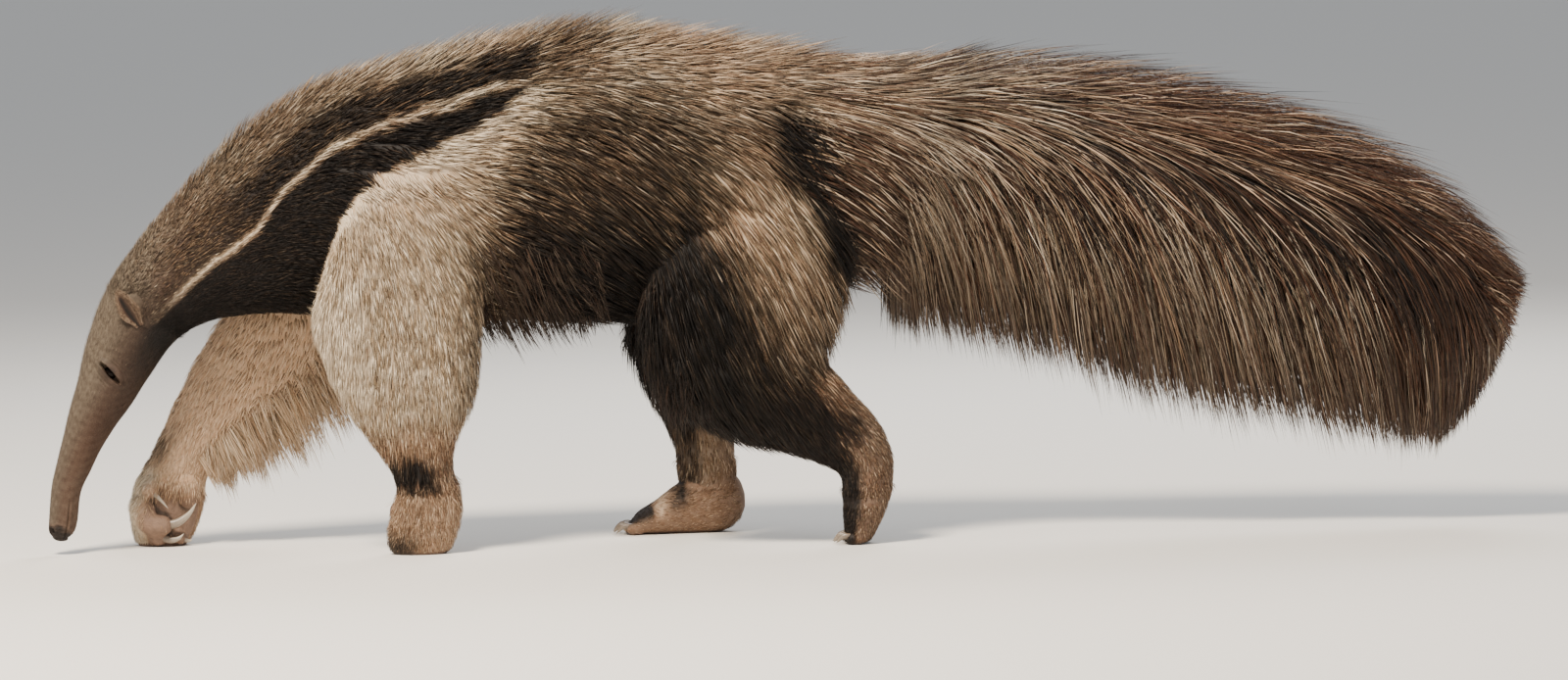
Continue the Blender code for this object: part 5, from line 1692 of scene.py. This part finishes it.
@dataclass
class Coat:
    """The coat that lies on a skin: tufts along its lie, longer and lower from the head to the rump."""

    skin: SkinMesh
    seed: int
    crest_angle: float = 0.27
    crest_length: float = 1.40
    root_depth: float = 0.0015

    def grow(self) -> tuple[Strands, Bearings]:
        """Lays out every tuft: root, the way it rises, the way it falls, and its pigments.

        Returns:
            The strands and the bearings of their roots.
        """
        chance = np.random.default_rng(self.seed)
        middle = self.skin.points[self.skin.faces].mean(1)
        where = bearings(middle)
        bare = MARKS.shares(middle, where)["bare"]
        spacing = 1.03 * where.coat["spacing"] / 1000 * np.where(bare > 0.9, 6.0, 1 + 0.6 * bare)
        limbs = ~where.on(BODY, HEAD, TAIL)
        spacing *= 1 + 0.35 * limbs * (middle[:, 1] * np.sin(where.angle) < -0.02)
        roots, normals = scattered(self.skin, spacing, chance)
        where = bearings(roots)
        inside_tail = where.on(TAIL) & (where.place > 0.75)
        both = [surface(TRUNK, EYE_PLACE, side * EYE_ANGLE) for side in (-1, 1)]
        eyes = np.min([np.linalg.norm((roots - eye) * (1, 0.5, 1), axis=1) for eye in both], 0)
        ears = np.linalg.norm((np.abs(roots) - np.abs(EAR_SPOT)) * (1, 0.6, 1), axis=1)
        keep = ~inside_tail & (roots[:, 2] > 0.003) & (eyes > 0.0150) & (ears > 0.0135)
        keep &= ~(where.on(HEAD) & (where.place < 1.2))
        keep &= (normals * where.lie).sum(1) > -0.92
        roots, normals = roots[keep], normals[keep]
        where = bearings(roots)
        return self.laid(roots, normals, where, chance), where

    def laid(self, roots: np.ndarray, normals: np.ndarray, where: Bearings, chance: np.random.Generator) -> Strands:
        """Bends each tuft along the lie: it leaves the skin at its lift, then falls with its length.

        Args:
            roots: Points on the skin.
            normals: The skin's normals there.
            where: The roots' bearings.
            chance: The random source.

        Returns:
            The strands.
        """
        count = len(roots)
        coat = where.coat
        on_trunk = where.on(BODY, HEAD)
        top = bump(where.angle, self.crest_angle) * on_trunk * step(10.0, 12.0, where.place)
        length = coat["length"] / 1000 * chance.uniform(0.72, 1.18, count) * (1 + (self.crest_length - 1) * top)
        length *= 1 + 0.18 * ripple(roots, 0.03, 21)
        ridge = step(0.1, 0.9, np.cos(where.angle)) * on_trunk
        shoulder = on_trunk * step(-0.12, -0.30, roots[:, 0])
        sway = np.stack([ripple(roots, 0.035, 22 + k) for k in range(3)], -1)
        jitter = chance.normal(0, 1, (count, 3))
        side = np.abs(np.sin(where.angle)) * on_trunk + ~on_trunk * 1.0
        down = np.array([0, 0, -1.0])
        fall = (coat["fall"] * side * (1 - 0.85 * shoulder))[:, None]
        haunch = where.on(NEAR_HIND, FAR_HIND) * (1 - step(3.5, 5.0, where.place))
        upper = where.on(NEAR_FORE, FAR_FORE) * (1 - step(1.0, 4.0, where.place))
        back = np.array([1.0, 0, 0]) * (0.55 * haunch + 0.45 * upper)[:, None]
        way = where.lie + fall * down + back + 0.16 * sway + 0.10 * jitter
        way = unit(way - (way * normals).sum(1, keepdims=True) * normals)
        lift = np.radians(coat["lift"] * (1 + 0.25 * jitter[:, 0].clip(-1.5, 1.5)) + 6 * ridge + 9 * top)[:, None]
        rise = np.sin(lift) * normals + np.cos(lift) * way
        held = (0.10 + 0.50 * ridge)[:, None] * np.sin(lift)
        settle = unit(way + 0.35 * fall * down + held * normals)
        long = length[:, None]
        middle = roots + 0.5 * long * rise
        tip = middle + 0.5 * long * settle
        tip[:, 2] = np.maximum(tip[:, 2], 0.002)
        marks = MARKS.shares(roots + 0.35 * (tip - roots), where)
        vary = 0.25 + 0.55 * step(4.5, 9.0, where.place) * on_trunk + 0.55 * ~on_trunk
        tone = 0.5 + vary * (chance.uniform(-0.5, 0.5, count) + 0.3 * ripple(roots, 0.02, 30))
        marks["tone"] = tone.clip(0, 1)
        solid = step(0.82, 0.95, marks["pale"])
        marks["tone"] = (marks["tone"] + 0.5 * solid).clip(0, 1)
        grain = (1 - solid) * np.where(on_trunk, 0.42 + 0.33 * step(4.0, 8.5, where.place), 0.68)
        grain = np.where(where.on(FAR_FORE), 0.16, grain)
        picked = chance.uniform(0, 1, count) < marks["pale"]
        marks["pale"] = (marks["pale"] * (1 - grain) + grain * (0.06 + 0.90 * picked)).clip(0, 1)
        inky = chance.uniform(0, 1, count) < marks["dark"]
        mixed = np.where(where.on(FAR_FORE), 0.12, 0.45) * (marks["dark"] < 0.9) * (marks["dark"] > 0.09)
        marks["dark"] = (marks["dark"] * (1 - mixed) + mixed * inky + 0.06 * chance.normal(0, 1, count)).clip(0, 1)
        slim = 0.27 + 0.03 * step(9.5, 11.0, where.place) * on_trunk + 0.04 * ~on_trunk
        slim = slim + 0.06 * where.on(FAR_FORE)
        width = coat["spacing"] / 1000 * slim * chance.uniform(0.7, 1.2, count)
        patch = np.zeros((count, 2))
        for k, limb in enumerate(LIMBS):
            chosen = where.limb == k
            patch[chosen] = limb.unwrap(where.place[chosen], where.angle[chosen])
        sunk = roots - self.root_depth * normals
        return Strands(sunk, middle, tip, normals, width, marks, patch)


@dataclass
class Plume:
    """The tail's long hair: swept back along its top, and hanging as a curtain from its sides and below."""

    count: int = 19000
    seed: int = SEED + 5
    sweep: tuple[float, float] = (0.24, 1.20)
    drop: tuple[float, float] = (0.18, 0.95)

    def grow(self) -> Strands:
        """Lays out every strand from the tail's core to the outer surface of its coat."""
        chance = np.random.default_rng(self.seed)
        core, n = TAIL.rings, self.count
        place = chance.uniform(-0.1, 8.95, n)
        capped = place > TAIL.last
        place = place.clip(0.02, TAIL.last)
        angle = chance.uniform(-math.pi, math.pi, n)
        from_top = np.abs(angle)
        root = surface(core, place, angle, -0.004)
        base = surface(core, place, angle)
        out = unit(base - root)
        sweep = self.sweep[0] + self.sweep[1] * np.cos(from_top / 2) ** 4
        shorter = np.minimum(0.45 + 0.40 * place, 1.0)
        reach = place + sweep * shorter * chance.uniform(0.7, 1.35, n)
        reach += 1.7 * np.exp(-place / 0.5) * step(2.2, 1.2, from_top)
        lower = from_top + self.drop[0] * np.sin(from_top) + self.drop[1] * bump(from_top - 1.75, 0.75)
        lower = np.copysign(np.minimum(lower, math.pi), angle)
        lower = lower + 0.10 * chance.normal(0, 1, n) + 0.12 * ripple(root, 0.05, 31)
        share = (1 - 0.50 * chance.uniform(0, 1, n) ** 1.8) * (1 + 0.07 * ripple(root, 0.045, 33))
        way_place = place + 0.35 * (reach - place)
        way_angle = angle + 0.35 * (lower - angle)
        low = surface(core, way_place.clip(0, 8.6), way_angle)
        high = surface(TAIL_COAT, way_place, way_angle)
        middle = low + (0.72 * share)[:, None] * (high - low)
        far = surface(TAIL_COAT, reach.clip(0, 9), lower, 0.010 * step(1.6, 2.4, np.abs(lower)))
        inner = surface(core, reach.clip(0, 9), lower)
        tip = inner + (share * chance.uniform(0.85, 1.10, n))[:, None] * (far - inner)
        inward = np.where(capped, np.sqrt(chance.uniform(0, 1, n)), 1.0)[:, None]
        last = between(core, TAIL.last)[:3]
        root, middle, tip = (
            axis + inward * (spot - axis)
            for axis, spot in ((last, root), (last + (0.016, 0, 0), middle), (last + (0.034, 0, -0.004), tip))
        )
        stray = chance.normal(0, 1, (n, 3)) * (0.007, 0.004, 0.007)
        tip = tip + stray
        middle = middle + 0.5 * stray + 0.007 * np.stack([ripple(root, 0.06, 41 + k) for k in range(3)], -1)
        tip[:, 2] = np.maximum(tip[:, 2], 0.010)
        facing = out + 0.5 * np.array([0, 1, 0]) * np.sign(angle)[:, None]
        return Strands(root, middle, tip, facing, *self.looks(place, angle, lower, chance))

    def looks(self, place: np.ndarray, angle: np.ndarray, lower: np.ndarray, chance: np.random.Generator) -> tuple:
        """Gives every strand its width, pigments and place on the unwrap.

        Args:
            place: The roots' places.
            angle: The roots' angles.
            lower: The tips' angles.
            chance: The random source.

        Returns:
            Half widths, marks and unwrap places.
        """
        n = len(place)
        up = np.cos(angle)
        spot = np.stack([place * 0.12, np.abs(angle) * 0.12, 0 * place], -1)
        streak = 0.6 * ripple(spot, 0.030, 51) + 0.5 * ripple(spot, 0.011, 52)
        curtain = bump(np.abs(angle) - 1.55, 0.75) * (1 - step(5.5, 8.3, place))
        band = bump(np.abs(angle) - 1.10, 0.38) * step(1.2, 2.8, place) * (1 - step(7.0, 8.2, place))
        top = step(0.15, 0.85, up)
        near = 1 - step(1.0, 4.5, place)
        lit = 0.40 * curtain * (1 - step(4.5, 7.0, place)) + 0.16 * top * near
        lit = lit + 0.10 * step(0.0, -0.8, up) - 0.30 * band
        bright = chance.uniform(0, 1, n) + 0.22 * streak > 0.78 - lit
        pale = 0.05 + 0.08 * streak + 0.80 * bright
        base = (1 - step(0.4, 1.6, place)) * step(0.8, 1.3, np.abs(angle))
        dark = 0.42 - 0.30 * streak + 0.12 * step(-0.45, -0.95, up) + 0.34 * band + 0.35 * base + 0.08 * top
        dark = dark * ~bright
        warm = 0.40 + 0.35 * top * step(0.8, 3.5, place) + 0.25 * streak - 0.25 * bright
        marks = {
            "pale": pale + 0.12 * chance.normal(0, 1, n),
            "dark": dark + 0.14 * chance.normal(0, 1, n),
            "warm": warm + 0.15 * chance.normal(0, 1, n),
            "tone": chance.uniform(0, 1, n),
            "ends": 0.85 * step(0.6, -0.2, up) * chance.uniform(0.3, 1.0, n),
        }
        marks = {key: value.clip(0, 1) for key, value in marks.items()}
        width = 0.0012 * chance.uniform(0.5, 1.3, n)
        return width, marks, TAIL.unwrap(place, angle)


@dataclass
class Rump:
    """Long hair of the rump, which runs back over the root of the tail and hangs beside it."""

    count: int = 3400
    seed: int = SEED + 6
    first: float = 18.7
    last: float = 20.95

    def grow(self) -> Strands:
        """Lays out each strand from the trunk's rear to the outer surface of the tail's coat."""
        chance = np.random.default_rng(self.seed)
        n = self.count
        place = self.first + (self.last - self.first) * chance.uniform(0, 1, n) ** 0.8
        angle = chance.uniform(-2.25, 2.25, n)
        inset = BODY.at(place, "inset") / 1000
        root = surface(TRUNK, place, angle, -inset - 0.003)
        base = surface(TRUNK, place, angle, -inset)
        out = unit(base - root)
        side = np.abs(np.sin(angle))
        reach = 0.55 + 0.62 * (place - self.first) * chance.uniform(0.6, 1.2, n) + 0.25 * chance.uniform(0, 1, n)
        lower = np.abs(angle) + 0.42 * side * chance.uniform(0.6, 1.3, n)
        target = surface(TAIL_COAT, reach, np.copysign(lower, angle), -0.004)
        way = target - base
        long = np.linalg.norm(way, axis=-1, keepdims=True)
        tip = base + way * np.minimum(1, 0.150 / long) * chance.uniform(0.6, 1.0, (n, 1))
        middle = base + 0.45 * (tip - base) + out * 0.014 * chance.uniform(0.5, 1.2, (n, 1))
        tip = tip + chance.normal(0, 1, (n, 3)) * 0.005
        where = bearings(base)
        marks = MARKS.shares(base, where)
        top = step(0.2, 0.8, np.cos(angle))
        bright = chance.uniform(0, 1, n) < 0.20 + 0.38 * top
        marks["pale"] = 0.06 + 0.75 * bright + 0.1 * chance.normal(0, 1, n)
        marks["dark"] = (0.62 - 0.35 * top + 0.15 * chance.normal(0, 1, n)) * ~bright
        marks["warm"] = 0.30 + 0.1 * chance.normal(0, 1, n)
        marks["tone"] = chance.uniform(0, 1, n)
        marks = {key: value.clip(0, 1) for key, value in marks.items()}
        width = 0.0014 * chance.uniform(0.6, 1.3, n)
        return Strands(root, middle, tip, out, width, marks, BODY.unwrap(place, angle))


class Fringe(NamedTuple):
    """A curtain of long hair: its limb, places, angles in degrees, fall in metres, count and pigments."""

    name: str
    limb: Limb
    places: tuple[float, float]
    angles: tuple[float, float]
    fall: tuple[float, float, float]
    count: int
    pale: float
    dark: float
    warm: float
    slot: Slot


FRINGES = (
    Fringe("belly_left", BODY, (15.5, 17.2), (-168, -112), (0.024, 0.0, -0.050), 900, 0.10, 0.75, 0.1, Slot.BODY),
    Fringe("belly_right", BODY, (15.5, 17.2), (112, 168), (0.024, 0.0, -0.050), 900, 0.10, 0.75, 0.1, Slot.BODY),
    Fringe("forearm_right", FAR_FORE, (2.2, 7.4), (-70, 70), (0.026, 0.0, -0.070), 3300, 0.85, 0.03, 0.35, Slot.PALE),
    Fringe("knee_left", NEAR_HIND, (1.7, 3.55), (125, 235), (0.008, 0.0, -0.074), 1300, 0.03, 0.9, 0.1, Slot.DARK),
    Fringe("knee_right", FAR_HIND, (1.7, 3.35), (125, 235), (0.012, 0.0, -0.064), 1300, 0.03, 0.9, 0.1, Slot.DARK),
)


@dataclass
class Fringes:
    """The curtains of long hair on belly, forearms and knees."""

    seed: int = SEED + 9
    sink: float = 0.004
    bulge: float = 0.013
    bend: float = 0.42

    def grow(self, plan: Fringe) -> Strands:
        """Lays out one fringe: out of the limb a little, then down by its fall.

        Args:
            plan: The fringe.

        Returns:
            Its strands.
        """
        chance = np.random.default_rng(self.seed + FRINGES.index(plan))
        n = plan.count
        place = chance.uniform(*plan.places, n)
        angle = np.radians(chance.uniform(*plan.angles, n))
        inset = -plan.limb.at(place, "inset") / 1000
        base = surface(plan.limb.rings, place, angle, inset)
        root = surface(plan.limb.rings, place, angle, inset - self.sink)
        out = unit(base - root)
        edge = bump((place - sum(plan.places) / 2) / (plan.places[1] - plan.places[0]) * 2 + 0.25, 1.0)
        fall = np.array(plan.fall) * (chance.uniform(0.25, 1.20, n) * (0.40 + 0.60 * edge))[:, None]
        fall *= 1 + 0.35 * ripple(root, 0.025, 60)[:, None]
        waves = np.stack([ripple(root, 0.03, 62 + k) for k in range(3)], -1)
        fall += chance.normal(0, 1, (n, 3)) * 0.005 + 0.008 * waves
        tip = base + fall + 0.004 * out
        tip[:, 2] = np.maximum(tip[:, 2], 0.006)
        middle = base + (self.bulge * chance.uniform(0.5, 1.1, n))[:, None] * out + self.bend * fall
        facing = np.stack([0.35 * out[:, 0], np.sign(out[:, 1]), 0 * place], -1)
        ones = np.ones(n)
        marks = {
            "pale": plan.pale * ones + 0.12 * chance.normal(0, 1, n) + 0.2 * ripple(root, 0.02, 61) * plan.pale,
            "dark": plan.dark * ones + 0.08 * chance.normal(0, 1, n),
            "warm": plan.warm * ones,
            "tone": chance.uniform(0, 1, n),
        }
        marks = {key: value.clip(0, 1) for key, value in marks.items()}
        width = 0.0008 * chance.uniform(0.6, 1.2, n)
        return Strands(root, middle, tip, facing, width, marks, plan.limb.unwrap(place, angle))

    def build(self, finish: bpy.types.Material) -> None:
        """Makes every fringe."""
        for plan in FRINGES:
            self.grow(plan).gathered(0.016, 0.45).pieces("fringe_" + plan.name, finish, plan.slot, 3, 0.3)


@dataclass
class Studio:
    """A pale paper floor, a large soft key from the upper front, a fill, a rim, and the photo's long lens."""

    frame_width: float = 2.0
    lens: float = 200.0
    sensor: float = 36.0
    elevation: float = math.radians(4.0)
    roll: float = math.radians(1.4)
    aim: tuple[float, float, float] = (0.0, 0.0, 0.2526)

    def camera(self) -> None:
        """Sets the camera level with the animal's side, far enough for the frame's width."""
        data = bpy.data.cameras.new("camera")
        data.lens, data.sensor_width = self.lens, self.sensor
        data.clip_end = 200
        made = bpy.data.objects.new("camera", data)
        far = self.frame_width * self.lens / self.sensor
        made.location = (
            self.aim[0],
            self.aim[1] - far * math.cos(self.elevation),
            self.aim[2] + far * math.sin(self.elevation),
        )
        turned = Euler((math.pi / 2 - self.elevation, 0, 0)).to_matrix()
        made.rotation_euler = (turned @ Euler((0, 0, -self.roll)).to_matrix()).to_euler()
        bpy.context.scene.collection.objects.link(made)
        bpy.context.scene.camera = made

    def lamp(self, name: str, place: tuple, aim: tuple, size: float, power: float, tint: str) -> None:
        """Adds one area light that faces a point.

        Args:
            name: The light's name.
            place: Where it stands.
            aim: What it faces.
            size: Its diameter.
            power: Watts.
            tint: Its hex colour.
        """
        data = bpy.data.lights.new(name, "AREA")
        data.shape, data.size, data.energy = "DISK", size, power
        data.color = hex_colour(tint)[:3]
        made = bpy.data.objects.new(name, data)
        made.location = place
        way = np.array(aim) - np.array(place)
        made.rotation_euler = (math.acos(-way[2] / np.linalg.norm(way)), 0, math.atan2(way[1], way[0]) - math.pi / 2)
        bpy.context.scene.collection.objects.link(made)

    def build(self) -> None:
        """Lays the floor and sets the lights and the camera."""
        reach = 60.0
        corners = np.array([[-reach, -reach, 0], [reach, -reach, 0], [reach, reach, 0], [-reach, reach, 0]])
        floor = mesh_piece("floor", corners - SHIFT, np.array([[0, 1, 2], [0, 2, 3]]), PAPER.material())
        floor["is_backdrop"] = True
        self.lamp("key", (-1.6, -2.2, 3.6), (0.0, 0.0, 0.3), 1.2, 430, "#fff1de")
        self.lamp("fill", (2.6, -3.4, 1.6), (0.1, 0.0, 0.3), 2.6, 45, "#e9f1ff")
        self.lamp("rim", (0.6, 2.8, 2.6), (0.0, 0.0, 0.4), 2.0, 90, "#ffffff")
        world = bpy.context.scene.world or bpy.data.worlds.new("studio")
        bpy.context.scene.world = world
        world.use_nodes = True
        world.node_tree.nodes["Background"].inputs[0].default_value = hex_colour("#dfe5ee")
        world.node_tree.nodes["Background"].inputs[1].default_value = 0.62
        self.camera()


@dataclass
class Anteater:
    """The whole animal, built from its skins outwards."""

    body: BodySkin = field(default_factory=BodySkin)
    paws: PawSkins = field(default_factory=PawSkins)
    head: HeadSkin = field(default_factory=HeadSkin)
    face_end: float = 9.9
    nape_end: float = 11.6
    nape_blend: float = 1.6
    neck_end: float = 13.5

    def coats(self) -> None:
        """Grows the coat of each region in its own pieces."""
        hair, head_hair, tail_hair = HAIR.material(), HEAD_HAIR.material(), TAIL_HAIR.material()
        strands, where = Coat(self.head.mesh, SEED + 1).grow()
        face = where.place < self.face_end
        strands.part(face).gathered(0.004, 0.25).pieces("coat_head", head_hair, Slot.HEAD, 1, 0.2)
        strands, where = Coat(together([self.body.mesh, *self.paws.meshes]), SEED + 2).grow()
        mingled = where.place + self.nape_blend * np.random.default_rng(SEED).uniform(0, 1, len(where.place))
        nape = where.on(BODY, HEAD) & (mingled <= self.nape_end)
        strands.part(nape).gathered(0.005, 0.30).pieces("coat_nape", head_hair, Slot.HEAD, 2, 0.4)
        neck = where.on(BODY, HEAD) & (where.place <= self.neck_end) & ~nape
        trunk = where.on(BODY, HEAD) & (where.place > self.neck_end) | where.on(TAIL)
        strands.part(neck).gathered(0.007, 0.35).pieces("coat_neck", hair, Slot.BODY, 2, 0.5)
        strands.part(trunk).gathered(0.013, 0.40).pieces("coat_torso", hair, Slot.BODY, 2, 0.5)
        for limb, slot in ((NEAR_FORE, Slot.PALE), (FAR_FORE, Slot.PALE), (NEAR_HIND, Slot.DARK)):
            strands.part(where.on(limb)).gathered(0.009, 0.35).pieces("coat_" + limb.name, hair, slot, 2, 0.4)
        far = where.on(FAR_HIND, FAR_SOLE)
        strands.part(far).gathered(0.009, 0.35).pieces("coat_hind_right", hair, Slot.DARK, 2, 0.4)
        Plume().grow().gathered(0.018, 0.30).pieces("coat_tail", tail_hair, Slot.DARK, 3, 0.4)
        Rump().grow().gathered(0.016, 0.35).pieces("coat_rump", tail_hair, Slot.DARK, 3, 0.4)
        Fringes().build(tail_hair)

    def build(self) -> None:
        """Builds skins, ears, eyes, claws and coats in order."""
        skin = SKIN.material()
        self.body.build(skin)
        self.paws.build(skin)
        face = HEAD_SKIN.material()
        self.head.build(face)
        for side in (-1, 1):
            Ear(side).build(face, HEAD_HAIR.material())
            Eyeball(side).build(WET_EYE.material())
        Claws().build(HORN.material())
        self.coats()


def main() -> None:
    """Builds the studio and the animal."""
    logging.basicConfig(level=logging.INFO, format="%(message)s")
    Studio().build()
    Anteater().build()
    total = sum(len(piece.data.polygons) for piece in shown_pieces() if piece.type == "MESH")
    LOG.info("whole model: %d faces", total)


if __name__ == "__main__":
    main()
